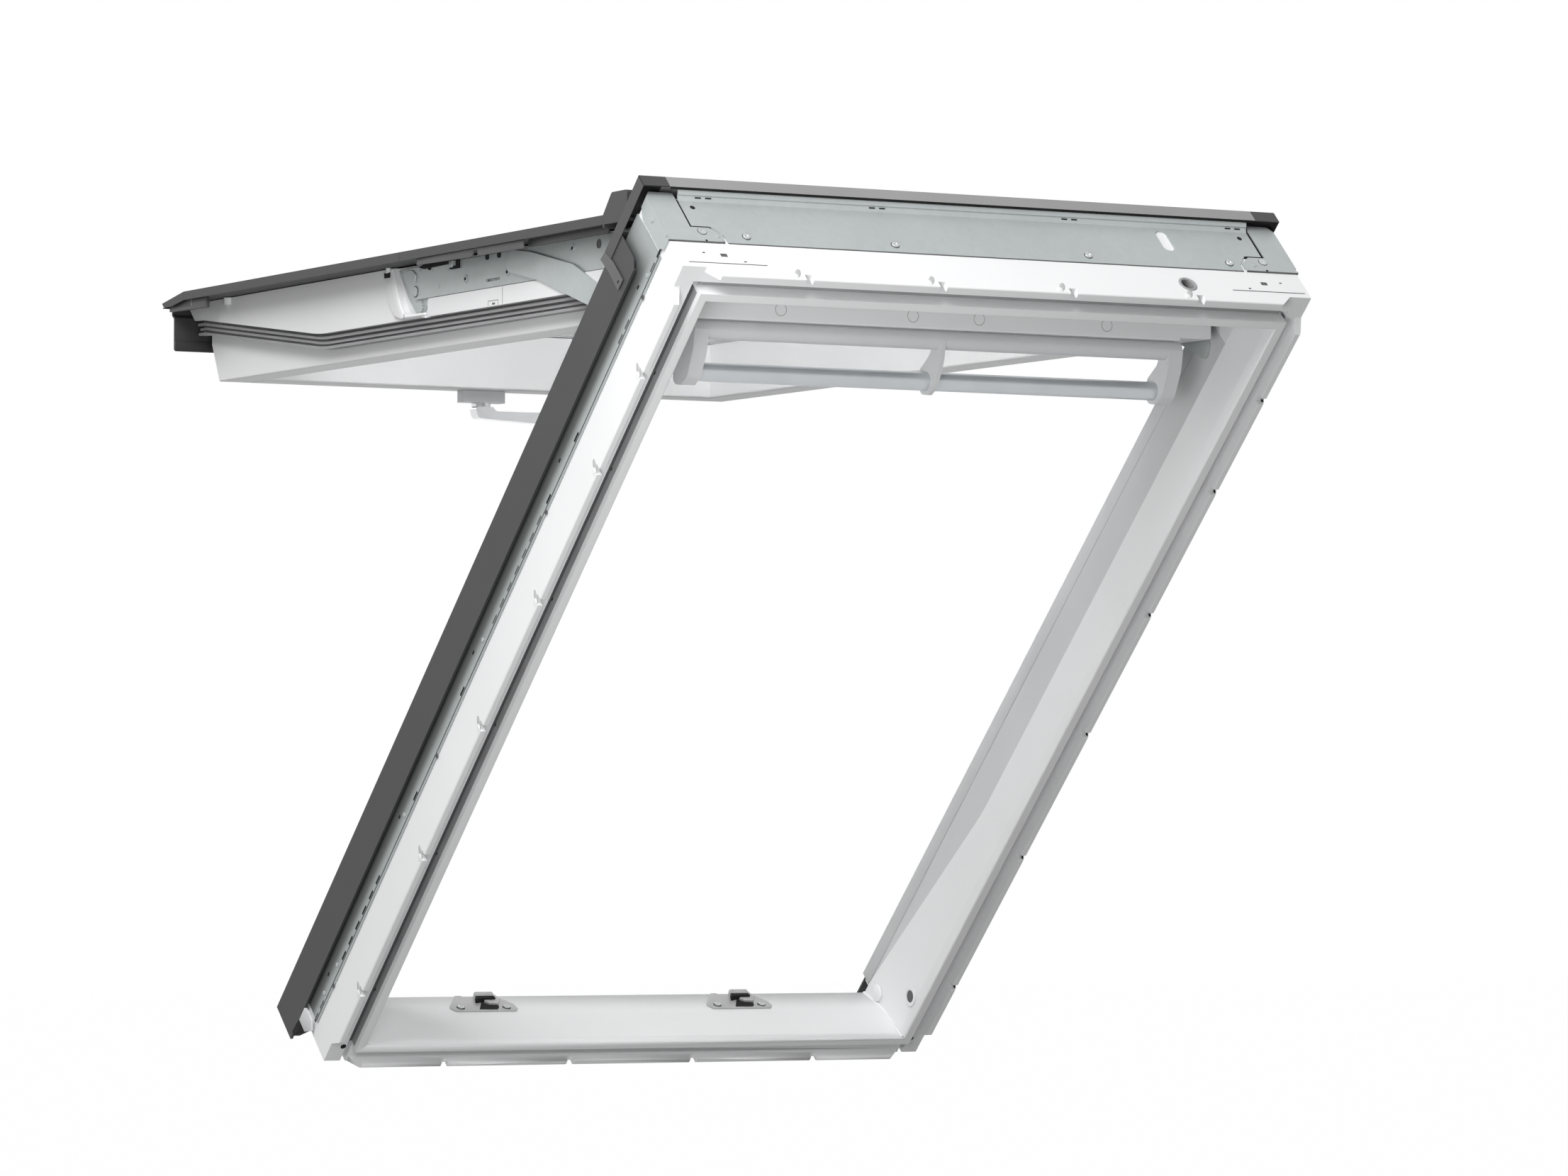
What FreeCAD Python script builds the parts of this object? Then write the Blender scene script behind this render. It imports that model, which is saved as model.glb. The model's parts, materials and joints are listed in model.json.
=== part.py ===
import FreeCAD, Part
import math
import os

from FreeCAD import Rotation, Vector

# Top-hung roof window, sash swung out level on its top hinge.
# It is drawn in the plane of the roof: across from the left outer face, down the slope from the
# head's outer face, and out from the plane of the frame's room-side corners. Millimetres, degrees.

# Frame
frame_width = 780.0
frame_height = 1178.0
frame_depth = 110.0
roof_pitch = 45.0
lip_drop = 12.5
outer_lip = 7.0
groove_start = 20.0
groove_end = 26.0
groove_depth = 8.0
member_width = 36.5
rebate_width = 27.0
inner_bulge = 1.5
ledge_height = 48.0
ledge_rise_start = 830.0
ledge_rise_end = 28.0
ledge_bend = 300.0
sill_height = 88.0
sill_upstand = 20.0
sill_upstand_foot = 44.0
lip_round = 2.0
lip_start = 28.0
lip_end_slope = 15.0
notch_width = 9.0
notch_depth = 8.0
jamb_notches = [139.0, 273.0, 460.0, 646.0, 843.0, 1057.0]
end_notches = [147.0, 309.0, 471.0, 633.0]

# Steel on the frame
steel = 1.5
steel_rebate = 0.5
steel_start = 40.0
side_plate_top = 24.0
side_plate_bottom = 20.0
side_slot_length = 13.0
side_slot_height = 3.0
side_slot_rise = 5.5
side_slots = [36.0, 114.0, 134.0, 390.0, 414.0, 438.0, 462.0, 486.0, 510.0, 534.0, 1129.0, 1149.0]
head_bend = 105.5
head_flange_rise = 8.5
head_ledge = 3.5
head_rib = 1.5
bracket_sheet = 2.5
bracket_reach = 66.0
bracket_width = 32.0
bracket_leg = 22.0
bracket_top = 116.5
bracket_chamfer = 8.0
bracket_shoulder = 5.6
bracket_slant = 12.0
bracket_wrap = 20.0
bracket_wrap_end = 12.0
bracket_gap = 3.0
bracket_round = 10.0
bracket_relief = 2.2
head_hole_radius = 3.0
head_hole_across = 48.5
head_hole_out = 95.5
cable_slot_across = 629.0
cable_slot_out = 84.0
cable_slot_width = 14.0
cable_slot_length = 33.0
cable_slot_round = 6.9

# Cladding on the frame
sheet = 1.2
seat = 0.3
cover_low = 69.0
cover_hook = 3.0
cover_top = 119.5
cover_tail = 22.0
cover_start = 56.0
cover_chamfer = 9.0
cover_overrun = 36.0
cap_stand = 7.5
cap_reach = 24.3
cap_front = 13.0
cap_low = 113.5
cap_top = 129.0
cap_back = 36.0
cap_leg_end = 95.0
cap_leg_lip = 6.5

# Small parts on the frame
grommet_across = 626.0
grommet_out = 13.0
grommet_radius = 11.0
grommet_bore = 7.5
grommet_depth = 24.0
port_down = 1095.0
port_out = 12.0
port_bore = 5.5
port_depth = 9.0
striker_across = 221.0
striker_width = 82.0
striker_height = 31.0
striker_seat = 3.0
striker_plate = 1.6
striker_corner = 8.0
striker_slant = 6.0
hook_width = 26.0
hook_reach = 11.0
hook_foot = 6.0
hook_rise = 6.5
hook_slot = 3.0
hook_slot_end = 4.0

# Sash
opening_angle = 45.0
hinge_down = 44.0
hinge_out = 132.5
sash_side_gap = 9.5
sash_end_gap = 6.2
sash_room_face = 32.0
sash_member = 40.5
sash_outer_face = 126.0
sash_shell_gap = 3.0
sash_arm_pocket = 6.0
sash_rail_face = 29.0
glass_seat = 98.0
glass_rebate = 26.0
gasket_height = 17.5
gasket_web = 5.0
gasket_lip = 3.0
gasket_start = 6.0
gasket_short = 12.0
gasket_lips = [(0.3, 12.0), (6.0, 10.0), (11.5, 13.0)]
bottom_flare = 21.0
bottom_flare_out = 77.0
shell_foot = 2.0
shell_bevel = 14.0
shell_cut_past = 40.0
pivot_down = 588.0
pivot_out = 96.0
pivot_radius = 5.5
cut_out_reach = 49.0
cut_out_low = 70.0
cut_out_slant = 26.0
cut_out_round = 20.0
strip_top = 86.0
strip_short = 32.0
strip_lap = 15.0
peg_down = 1072.0
peg_low = 118.0
peg_radius = 6.0

# Glass
pane_inner = 6.0
pane_outer = 4.0
pane_gap = 15.0
spacer_width = 12.0
glass_clearance = 2.0

# Cladding on the sash
sash_cover_low = 127.0
sash_cover_top = 137.0
sash_cover_reach = 72.0
sash_cover_slope = 3.0
sash_cover_hem = 5.0
cover_joint_short = 22.0
cover_joint = 0.8
hood_start = 39.0
hood_end = 92.0
hood_top = 159.5
hood_flat = 34.0
nose_back = 45.0
nose_reach = 16.5
nose_out = 127.0
nose_depth = 5.0
nose_hem = 6.0
apron_inset = 12.0
apron_gap = 6.0
apron_low = 72.0
apron_step = 8.0
apron_step_out = 14.0
apron_slope = 4.0

# Linkage
arm_thickness = 3.0
arm_low = 87.0
arm_high = 123.0
arm_end_low = 2.0
arm_end_high = 43.0
hinge_pin_radius = 5.0
hinge_eye = 11.0
pin_clearance = 0.05
arm_slot_down = 402.0
arm_slot_length = 32.0
arm_slot_out = 95.0
arm_slot_height = 3.0
hinge_plate_low = 60.0
hinge_plate_reach = 24.0
hinge_plate_start = 4.0
hinge_boss = 8.0
arm_heel = 10.0
arm_shoulder = 30.0
stay_end = 12.0
stay_thickness = 2.2
stay_belly = 30.0
stay_back = 4.0
stay_hip = 21.0
ratchet_short = 7.0
ratchet_out = 78.5
ratchet_teeth = 12
ratchet_tip = 8.0
ratchet_root = 6.2
ratchet_thickness = 2.0
stay_jamb_down = 150.0
stay_jamb_out = 88.0
stay_arm_down = 350.0
stay_arm_out = 109.0

# Ventilation bar
vent_side_inset = 84.0
vent_tube_radius = 10.3
vent_tube_down = 55.5
vent_tube_gap = 0.5
pull_tube_radius = 10.2
pull_tube_down = 79.0
pull_tube_out = -24.5
bracket_boss = 13.0
bracket_front = 1.0
bracket_drop = 22.0
bracket_reach_back = 14.0
end_bracket_width = 17.0
middle_bracket_width = 5.0

# Handle
handle_base_width = 58.0
handle_base_depth = 18.0
handle_base_height = 14.0
handle_base_round = 3.0
handle_place_in_rail = 13.0
lever_root = 24.0
lever_thickness = 14.0
lever_width = 18.0
lever_length = 128.0
lever_clearance = 5.0
lever_swell = 4.0
lever_slope = 5.0
lever_tip_round = 4.0
lever_crown = 60.0
spindle_radius = 5.0

# Worked out from the sizes above
inner_face = member_width + inner_bulge
sash_side = inner_face + sash_side_gap
sash_inner = sash_side + sash_member
sash_top = inner_face + sash_end_gap
sash_foot = frame_height - inner_face - sash_end_gap
shell_side = rebate_width + sash_shell_gap
pocket_side = shell_side + sash_arm_pocket
shell_low = ledge_height + gasket_height + seat
shell_low_end = sill_height + gasket_height + seat
glass_edge = sash_inner - glass_rebate + glass_clearance
ledge_rise_down = frame_height - ledge_rise_end
shell_end = frame_height + shell_foot
sill_face = frame_height - sill_upstand
steel_face = steel_rebate - steel
head_flange = cap_front - cover_hook - seat + steel_face
cover_stand = cap_stand - sheet - seat
cut_out_down = pivot_down + cut_out_reach
strip_end = pivot_down - strip_short
cover_joint_down = pivot_down - cover_joint_short
nose_start = frame_height - nose_back
face_out = (sill_height - lip_drop) / 2

nodes = {}


def outline(corners):
    # Closed flat outline; a corner given as (a, b, r) is rounded to the radius r.
    points = [Vector(c[0], c[1], 0) for c in corners]
    edges = []
    starts = []
    for i, corner in enumerate(corners):
        here = points[i]
        radius = corner[2] if len(corner) > 2 else 0
        if radius == 0:
            starts.append((here, here, None))
            continue
        back = (points[i - 1] - here).normalize()
        ahead = (points[(i + 1) % len(points)] - here).normalize()
        half = back.getAngle(ahead) / 2
        middle = (back + ahead).normalize()
        run = radius / math.tan(half)
        centre = here + middle * (radius / math.sin(half))
        starts.append((here + back * run, here + ahead * run, centre - middle * radius))
    for i, (first, last, top) in enumerate(starts):
        if top is not None:
            edges.append(Part.Arc(first, top, last).toShape())
        follow = starts[(i + 1) % len(starts)][0]
        if (follow - last).Length > 0.001:
            edges.append(Part.makeLine(last, follow))
    return Part.Wire(edges)


def across(corners, start, end):
    # Corners are (down, out); the solid runs across the window.
    face = Part.Face(outline(corners))
    face.transformShape(FreeCAD.Matrix(0, 0, 1, start, 1, 0, 0, 0, 0, 1, 0, 0, 0, 0, 0, 1))
    return face.extrude(Vector(end - start, 0, 0))


def down(corners, start, end):
    # Corners are (across, out); the solid runs down the slope.
    face = Part.Face(outline([(c[0], -c[1]) + tuple(c[2:]) for c in corners]))
    face.rotate(Vector(0, 0, 0), Vector(1, 0, 0), -90)
    face.translate(Vector(0, start, 0))
    return face.extrude(Vector(0, end - start, 0))


def out(corners, start, end):
    # Corners are (across, down); the solid runs outwards.
    face = Part.Face(outline(corners))
    face.translate(Vector(0, 0, start))
    return face.extrude(Vector(0, 0, end - start))


def block(low, high):
    size = Vector(*high) - Vector(*low)
    return Part.makeBox(size.x, size.y, size.z, Vector(*low))


def rod(radius, start, end, down_at, out_at):
    return Part.makeCylinder(radius, end - start, Vector(start, down_at, out_at), Vector(1, 0, 0))


def folded(points, thickness):
    # A bent sheet: the line of points is one face, and the sheet lies to its right.
    right = []
    left = [Vector(p[0], p[1], 0) for p in points]
    for i, here in enumerate(left):
        before = (here - left[i - 1]).normalize() if i > 0 else None
        after = (left[i + 1] - here).normalize() if i < len(left) - 1 else None
        before = before or after
        after = after or before
        side_before = Vector(before.y, -before.x, 0)
        side_after = Vector(after.y, -after.x, 0)
        middle = (side_before + side_after).normalize()
        right.append(here + middle * (thickness / middle.dot(side_before)))
    return [(p.x, p.y) for p in left] + [(p.x, p.y) for p in reversed(right)]


def mirrored(shape):
    return shape.mirror(Vector(frame_width / 2, 0, 0), Vector(1, 0, 0))


def turned(shape):
    # A member drawn as a jamb becomes one that runs across.
    return shape.mirror(Vector(0, 0, 0), Vector(1, -1, 0))


def at_foot(shape):
    return shape.mirror(Vector(0, frame_height / 2, 0), Vector(0, 1, 0))


def opened(shape):
    shape = shape.copy()
    shape.rotate(Vector(0, hinge_down, hinge_out), Vector(1, 0, 0), opening_angle)
    return shape


def keep(name, shape):
    # The window is laid on its roof pitch, with the sill's outer face centred on the origin.
    shape = shape.copy()
    shape.translate(Vector(-frame_width / 2, -frame_height, -face_out))
    shape.rotate(Vector(0, 0, 0), Vector(1, 0, 0), -roof_pitch)
    solids = shape.Solids
    nodes[name] = solids[0] if len(solids) == 1 else Part.Compound(solids)


def keep_pair(name, left):
    keep(name + "_left", left)
    keep(name + "_right", mirrored(left))


def member_section(top, inside, rebate):
    # Section of a frame member: distance from its outer face, distance out.
    # A shallow rebate takes the steel that lies on the outer face.
    return [
        (0, -lip_drop, lip_round),
        (outer_lip, -lip_drop),
        (outer_lip, 0),
        (groove_start, 0),
        (groove_start, groove_depth),
        (groove_end, groove_depth),
        (groove_end, -lip_drop),
        (member_width, -lip_drop, lip_round),
    ] + inside + [(rebate, top)] + ([(rebate, steel_start), (0, steel_start)] if rebate else [])


def frame_member(length, section, notches, mitre_tops):
    # One member with its lip notches; each end is mitred up to a height out.
    body = down(section, 0, length)
    span = 2 * member_width
    deep = frame_depth + lip_drop
    cutters = [
        out([(0, 0), (span, 0), (span, span)], -deep, mitre_tops[0]),
        out([(0, length), (span, length), (span, length - span)], -deep, mitre_tops[1]),
    ]
    for end in (0, 1):
        slope = lip_start + lip_end_slope
        tip = [(-lip_start, 0), (lip_start, 0), (slope, -lip_drop - 1), (-lip_start, -lip_drop - 1)]
        if end:
            tip = [(length - place, height) for place, height in tip]
        cutters.append(across(tip, -1, groove_end))
    for place in notches:
        low = (-1, place - notch_width / 2, -lip_drop - 1)
        high = (outer_lip + 1, place + notch_width / 2, notch_depth - lip_drop)
        cutters.append(block(low, high))
    return body.cut(cutters)


def grommet_body():
    # The cable grommet's outside, let in flush with the head's outer face.
    return Part.makeCylinder(grommet_radius, grommet_depth, Vector(grommet_across, 0, grommet_out), Vector(0, 1, 0))


def make_frame():
    full = 2 * frame_depth
    high_inside = [
        (inner_face, 0), (inner_face, ledge_height), (rebate_width, ledge_height), (rebate_width, frame_depth),
    ]
    section = member_section(frame_depth, high_inside, steel_rebate)
    jamb = frame_member(frame_height, section, jamb_notches, (full, 0))
    rise = across(
        [
            (ledge_rise_start - ledge_bend, ledge_height),
            (ledge_rise_start, ledge_height, ledge_bend),
            (ledge_rise_down, sill_height),
            (frame_height, sill_height),
            (frame_height, ledge_height - 1),
            (ledge_rise_start - ledge_bend, ledge_height - 1),
        ],
        rebate_width,
        inner_face,
    )
    port = rod(port_bore, inner_face - port_depth, inner_face + 1, port_down, port_out)
    keep_pair("frame_jamb", jamb.fuse(rise).cut(port).removeSplitter())

    head = turned(frame_member(frame_width, section, end_notches, (full, full)))
    keep("frame_head", head.cut(grommet_body()).removeSplitter())

    low_inside = [
        (member_width, -lip_drop / 2), (sill_upstand, sill_upstand_foot), (sill_upstand, sill_height),
    ]
    section = member_section(sill_height, low_inside, 0)
    sill = at_foot(turned(frame_member(frame_width, section, end_notches, (0, 0))))
    foot = frame_height + 1
    ends = [
        block((-1, foot - frame_depth, 0), (inner_face, foot, frame_depth)),
        block((frame_width - inner_face, foot - frame_depth, 0), (frame_width + 1, foot, frame_depth)),
    ]
    keep("frame_sill", sill.cut(ends).removeSplitter())


def make_frame_steel():
    plate = down(
        folded(
            [
                (rebate_width - sheet, frame_depth + steel),
                (steel_face, frame_depth + steel),
                (steel_face, steel_start),
            ],
            -steel,
        ),
        side_plate_top,
        frame_height - side_plate_bottom,
    )
    slots = []
    slot_low = steel_start + side_slot_rise
    for place in side_slots:
        low = (steel_face - steel, place, slot_low)
        high = (steel_rebate, place + side_slot_length, slot_low + side_slot_height)
        slots.append(block(low, high))
    keep_pair("side_plate", plate.cut(slots))

    edge = bracket_width + bracket_gap
    leg_top = steel_start + bracket_leg
    leg_end = bracket_reach + bracket_gap
    left = [
        (leg_end, steel_start),
        (leg_end, leg_top - bracket_slant, bracket_round / 2),
        (leg_end - bracket_slant, leg_top + bracket_gap, bracket_round / 2),
        (edge, leg_top + bracket_gap),
        (edge, head_bend),
    ]
    right = [(frame_width - corner[0],) + corner[1:] for corner in reversed(left)]
    plate = down(left + right, steel_face, steel_rebate)
    flange = across(
        folded(
            [
                (steel_face, head_bend),
                (steel_face - head_ledge, head_bend + head_flange_rise / 2),
                (steel_face - head_ledge - head_rib, head_bend + head_flange_rise / 2),
                (steel_face - head_flange, head_bend + head_flange_rise),
            ],
            steel,
        ),
        edge,
        frame_width - edge,
    )
    root = block((edge, steel_face, head_bend - steel), (frame_width - edge, steel_rebate, head_bend + steel))
    holes = []
    for place in (head_hole_across, frame_width - head_hole_across):
        start = Vector(place, steel_face - steel, head_hole_out)
        holes.append(Part.makeCylinder(head_hole_radius, 3 * steel, start, Vector(0, 1, 0)))
    half = cable_slot_width / 2
    low_end = cable_slot_out - cable_slot_length / 2
    high_end = cable_slot_out + cable_slot_length / 2
    slot = []
    for place, height in ((-half, low_end), (half, low_end), (half, high_end), (-half, high_end)):
        slot.append((cable_slot_across + place, height, cable_slot_round))
    holes.append(down(slot, steel_face - steel, steel))
    keep("head_plate", plate.fuse([flange, root]).cut(holes).removeSplitter())

    face = steel_rebate - bracket_sheet
    front = down(
        [
            (face, steel_start),
            (bracket_reach, steel_start, bracket_round / 2),
            (bracket_reach, leg_top - bracket_round, bracket_round / 2),
            (bracket_reach - bracket_slant, leg_top),
            (bracket_width, leg_top),
            (bracket_width, bracket_top),
            (face + bracket_shoulder, bracket_top),
            (face, bracket_top - bracket_chamfer),
        ],
        face,
        steel_rebate,
    )
    side = across(
        [
            (face, steel_start),
            (bracket_wrap_end, steel_start),
            (bracket_wrap, steel_start + bracket_round),
            (bracket_wrap, bracket_top - 2 * bracket_round),
            (bracket_wrap_end, bracket_top - bracket_chamfer),
            (face, bracket_top - bracket_chamfer),
        ],
        face,
        steel_rebate,
    )
    start = Vector(face, face - 1, steel_start + 2 * bracket_relief)
    relief = Part.makeCylinder(bracket_relief, bracket_sheet + 2, start, Vector(0, 1, 0))
    keep_pair("corner_bracket", front.fuse(side).cut(relief).removeSplitter())


def make_frame_cladding():
    rest = frame_depth + steel + seat
    line = [
        (cover_tail, rest),
        (cover_tail, cover_top),
        (-cover_stand, cover_top),
        (-cover_stand, cover_low),
        (-cover_stand + cover_hook, cover_low),
    ]
    cover = down(folded(line, -sheet), cover_start, frame_height + cover_overrun)
    corner = across(
        [
            (cover_start, cover_low),
            (cover_start, cover_low + cover_chamfer),
            (cover_start + cover_chamfer, cover_low),
        ],
        -cover_stand,
        cover_tail,
    )
    keep_pair("side_cover", cover.cut(corner))

    front = block((-cap_stand, -cap_front, cap_low), (cap_reach, -cap_front + sheet, cap_top))
    roof = block((-cap_stand, -cap_front, cap_top - sheet), (cap_reach, cap_back, cap_top))
    back = block((-cap_stand, cap_back - sheet, cover_top + seat), (cap_reach, cap_back, cap_top))
    leg = block((-cap_stand, -cap_front, cap_low), (-cap_stand + sheet, cap_leg_end, cap_top))
    lip = block((-cap_stand, cap_back - sheet, cap_top - sheet), (-cap_stand + cap_leg_lip, cap_leg_end, cap_top))
    keep_pair("corner_cap", leg.fuse([front, roof, back, lip]).removeSplitter())

    cover = across(
        folded(
            [
                (rebate_width - seat, rest),
                (rebate_width - seat, cap_top),
                (-cap_front, cap_top),
                (-cap_front, cap_low),
                (-cap_front + cover_hook, cap_low),
            ],
            -sheet,
        ),
        cap_reach + seat,
        frame_width - cap_reach - seat,
    )
    keep("head_cover", cover)


def make_frame_fittings():
    start = Vector(grommet_across, -1, grommet_out)
    bore = Part.makeCylinder(grommet_bore, 2 * grommet_depth, start, Vector(0, 1, 0))
    keep("cable_grommet", grommet_body().cut(bore))

    low = sill_upstand_foot + striker_seat
    high = low + striker_height
    left = striker_across - striker_width / 2
    right = striker_across + striker_width / 2
    plate = down(
        [
            (left + striker_corner, low),
            (right - striker_corner, low),
            (right, low + striker_corner, 3),
            (striker_across + hook_width / 2, high),
            (left + striker_slant, high),
            (left, high - striker_corner, 3),
            (left, low + striker_corner, 3),
        ],
        sill_face - striker_plate,
        sill_face,
    )
    face = sill_face - striker_plate
    hook = across(
        [
            (face, low + hook_foot),
            (face - hook_reach, low + 2 * hook_foot, 3),
            (face - hook_reach, high + hook_rise, 2),
            (face - hook_reach / 2, high + hook_rise, 1),
            (face - hook_reach / 2, high - 2),
            (face, high - 2),
        ],
        striker_across - hook_width / 2,
        striker_across + hook_width / 2,
    )
    middle = (low + high) / 2
    half = hook_width / 2 - hook_slot_end
    low_corner = (striker_across - half, face - hook_reach - 1, middle)
    slot = block(low_corner, (striker_across + half, face - hook_slot, middle + hook_slot))
    keep_pair("striker", plate.fuse(hook).cut(slot).removeSplitter())


def gasket_band(low, high):
    # Band along the sash side at a height above the ledge, following the ledge's rise to the sill.
    start = sash_top + gasket_start
    finish = frame_height - gasket_short
    return [
        (start, ledge_height + low),
        (ledge_rise_start, ledge_height + low, ledge_bend),
        (ledge_rise_down, sill_height + low),
        (finish, sill_height + low),
        (finish, sill_height + high),
        (ledge_rise_down, sill_height + high),
        (ledge_rise_start, ledge_height + high, ledge_bend),
        (start, ledge_height + high),
    ]


def make_sash_frame():
    core = down(
        [
            (sash_side, sash_room_face, 2),
            (sash_inner, sash_room_face, 3),
            (sash_inner, glass_seat),
            (sash_inner - glass_rebate, glass_seat),
            (sash_inner - glass_rebate, sash_outer_face),
            (pocket_side, sash_outer_face),
            (pocket_side, shell_low),
            (sash_side, shell_low),
        ],
        sash_top,
        shell_end,
    )
    low_side = [
        (ledge_rise_start - ledge_bend, shell_low),
        (ledge_rise_start, shell_low, ledge_bend),
        (ledge_rise_down, shell_low_end),
        (frame_height + shell_cut_past, shell_low_end),
    ]
    under = across(low_side + [(frame_height + shell_cut_past, 0), (ledge_rise_start - ledge_bend, 0)], 0, sash_side)
    beyond = across(
        [
            (sash_foot, sash_room_face - 10),
            (sash_foot, sash_room_face),
            (sash_foot + bottom_flare, bottom_flare_out),
            (sash_foot + bottom_flare, shell_low_end),
            (shell_end - shell_bevel, shell_low_end),
            (shell_end, shell_low_end + shell_bevel),
            (shell_end + 20, shell_low_end + shell_bevel),
            (shell_end + 20, sash_room_face - 10),
        ],
        0,
        frame_width,
    )
    shell = across(
        [
            (strip_end + strip_lap, shell_low),
            (ledge_rise_start, shell_low, ledge_bend),
            (ledge_rise_down, shell_low_end),
            (shell_end - shell_bevel, shell_low_end),
            (shell_end, shell_low_end + shell_bevel),
            (shell_end, sash_outer_face),
            (cut_out_down, sash_outer_face),
            (cut_out_down - cut_out_slant, cut_out_low, cut_out_round),
            (strip_end + strip_lap, cut_out_low),
        ],
        shell_side,
        pocket_side,
    )
    strip = across(
        [(sash_top, shell_low), (strip_end, shell_low), (strip_end, strip_top, 4), (sash_top, strip_top)],
        shell_side,
        pocket_side,
    )
    start = Vector(shell_side, peg_down, peg_low)
    bump = Part.makeCylinder(peg_radius, sash_outer_face - peg_low, start, Vector(0, 0, 1))
    stile = core.cut(under).fuse([shell, strip, bump]).cut(beyond).removeSplitter()
    keep_pair("sash_stile", opened(stile))

    rebate = sash_top + sash_member - glass_rebate
    top_rail = across(
        [
            (sash_top, sash_rail_face, 2),
            (sash_top + sash_member, sash_rail_face, 2),
            (sash_top + sash_member, glass_seat),
            (rebate, glass_seat),
            (rebate, sash_outer_face),
            (sash_top, sash_outer_face),
        ],
        sash_inner,
        frame_width - sash_inner,
    )
    keep("sash_top_rail", opened(top_rail))

    inside = sash_foot - sash_member
    foot_rebate = inside + glass_rebate
    bottom_rail = across(
        [
            (inside, sash_room_face, 3),
            (sash_foot, sash_room_face),
            (sash_foot + bottom_flare, bottom_flare_out),
            (sash_foot + bottom_flare, shell_low_end),
            (shell_end - shell_bevel, shell_low_end),
            (shell_end, shell_low_end + shell_bevel),
            (shell_end, sash_outer_face),
            (foot_rebate, sash_outer_face),
            (foot_rebate, glass_seat),
            (inside, glass_seat),
        ],
        sash_inner,
        frame_width - sash_inner,
    )
    keep("sash_bottom_rail", opened(bottom_rail))


def make_glass():
    top = sash_top + sash_member - glass_rebate + glass_clearance
    foot = sash_foot - sash_member + glass_rebate - glass_clearance
    left = glass_edge
    right = frame_width - glass_edge
    low = glass_seat + seat
    inner = block((left, top, low), (right, foot, low + pane_inner))
    low += pane_inner
    ring = block((left, top, low), (right, foot, low + pane_gap))
    hollow_low = (left + spacer_width, top + spacer_width, low - 1)
    hollow_high = (right - spacer_width, foot - spacer_width, low + pane_gap + 1)
    ring = ring.cut(block(hollow_low, hollow_high))
    low += pane_gap
    outer = block((left, top, low), (right, foot, low + pane_outer))
    keep("inner_pane", opened(inner))
    keep("pane_spacer", opened(ring))
    keep("outer_pane", opened(outer))


def make_sash_cladding():
    glass_top = glass_seat + seat + pane_inner + pane_gap + pane_outer
    left = 0
    line = [
        (sash_cover_reach, glass_top + seat),
        (sash_cover_reach - sash_cover_slope, sash_cover_top),
        (left, sash_cover_top),
        (left, sash_cover_low),
        (rebate_width + sash_cover_hem, sash_cover_low),
    ]
    section = folded(line, -sheet)
    upper = down(section, hood_end + seat, cover_joint_down)
    lower = down(section, cover_joint_down + cover_joint, nose_start)
    keep_pair("sash_cover", Part.Compound([opened(upper), opened(lower)]))

    hood_line = [
        (hood_start, sash_cover_low),
        (hood_start, hood_top, 3),
        (hood_start + hood_flat, hood_top, 6),
        (hood_end, sash_cover_top),
        (hood_end, glass_top + seat),
        (hood_end - 2 * sheet, glass_top + seat),
        (hood_end - 2 * sheet, sash_cover_top - sheet),
        (hood_start + hood_flat - sheet, hood_top - 2 * sheet, 5),
        (hood_start + 2 * sheet, hood_top - 2 * sheet, 2),
        (hood_start + 2 * sheet, sash_cover_low),
    ]
    end_line = [
        (hood_start, sash_cover_low),
        (hood_start, hood_top, 3),
        (hood_start + hood_flat, hood_top, 6),
        (hood_end, sash_cover_top),
        (hood_end, sash_cover_low),
    ]
    right = frame_width - left
    hood = across(hood_line, left, right)
    ends = [across(end_line, left, left + 2 * sheet), across(end_line, right - 2 * sheet, right)]
    eye_top = hinge_out + hinge_eye + 2
    glass_side = sash_inner - glass_rebate + seat
    slot = block((rebate_width - seat, hood_start - 1, sash_cover_low), (pocket_side, hood_start + 4, eye_top))
    rest = block((shell_side - 1, hood_end - 4, glass_top), (glass_side, hood_end + 1, sash_outer_face + seat))
    hood = hood.fuse(ends).cut([slot, rest, mirrored(slot), mirrored(rest)])
    keep("sash_hood", opened(hood.removeSplitter()))

    tip = frame_height + nose_reach
    apron = frame_height + apron_gap
    nose_low = nose_out - nose_depth
    nose = across(
        folded(
            [
                (nose_start + seat, sash_cover_top),
                (tip, nose_out),
                (tip - nose_hem, nose_low),
                (apron + apron_step, nose_low),
            ],
            sheet,
        ),
        left,
        right,
    )
    cheek = [
        (nose_start + seat, sash_cover_top),
        (tip, nose_out),
        (tip - nose_hem, nose_low),
        (apron - 2 * apron_step, nose_low),
        (nose_start + seat, sash_cover_low),
    ]
    cheeks = [across(cheek, left, left + sheet), across(cheek, right - sheet, right)]
    skirt = across(
        folded(
            [
                (apron + apron_step, nose_low + sheet),
                (apron + apron_step, nose_out - apron_step_out),
                (apron + 2 * sheet, nose_out - apron_step_out - apron_slope),
                (apron + 2 * sheet, apron_low),
                (apron - 2, apron_low - 2),
            ],
            2 * sheet,
        ),
        left + apron_inset,
        right - apron_inset,
    )
    inside = sash_foot - sash_member + 2
    flap = across(
        folded(
            [
                (inside, glass_top + seat),
                (inside + 3, sash_cover_top),
                (nose_start + 1, sash_cover_top),
            ],
            sheet,
        ),
        sash_cover_reach + seat,
        frame_width - sash_cover_reach - seat,
    )
    keep("sash_bottom_cover", opened(nose.fuse(cheeks + [skirt, flap]).removeSplitter()))


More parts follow.
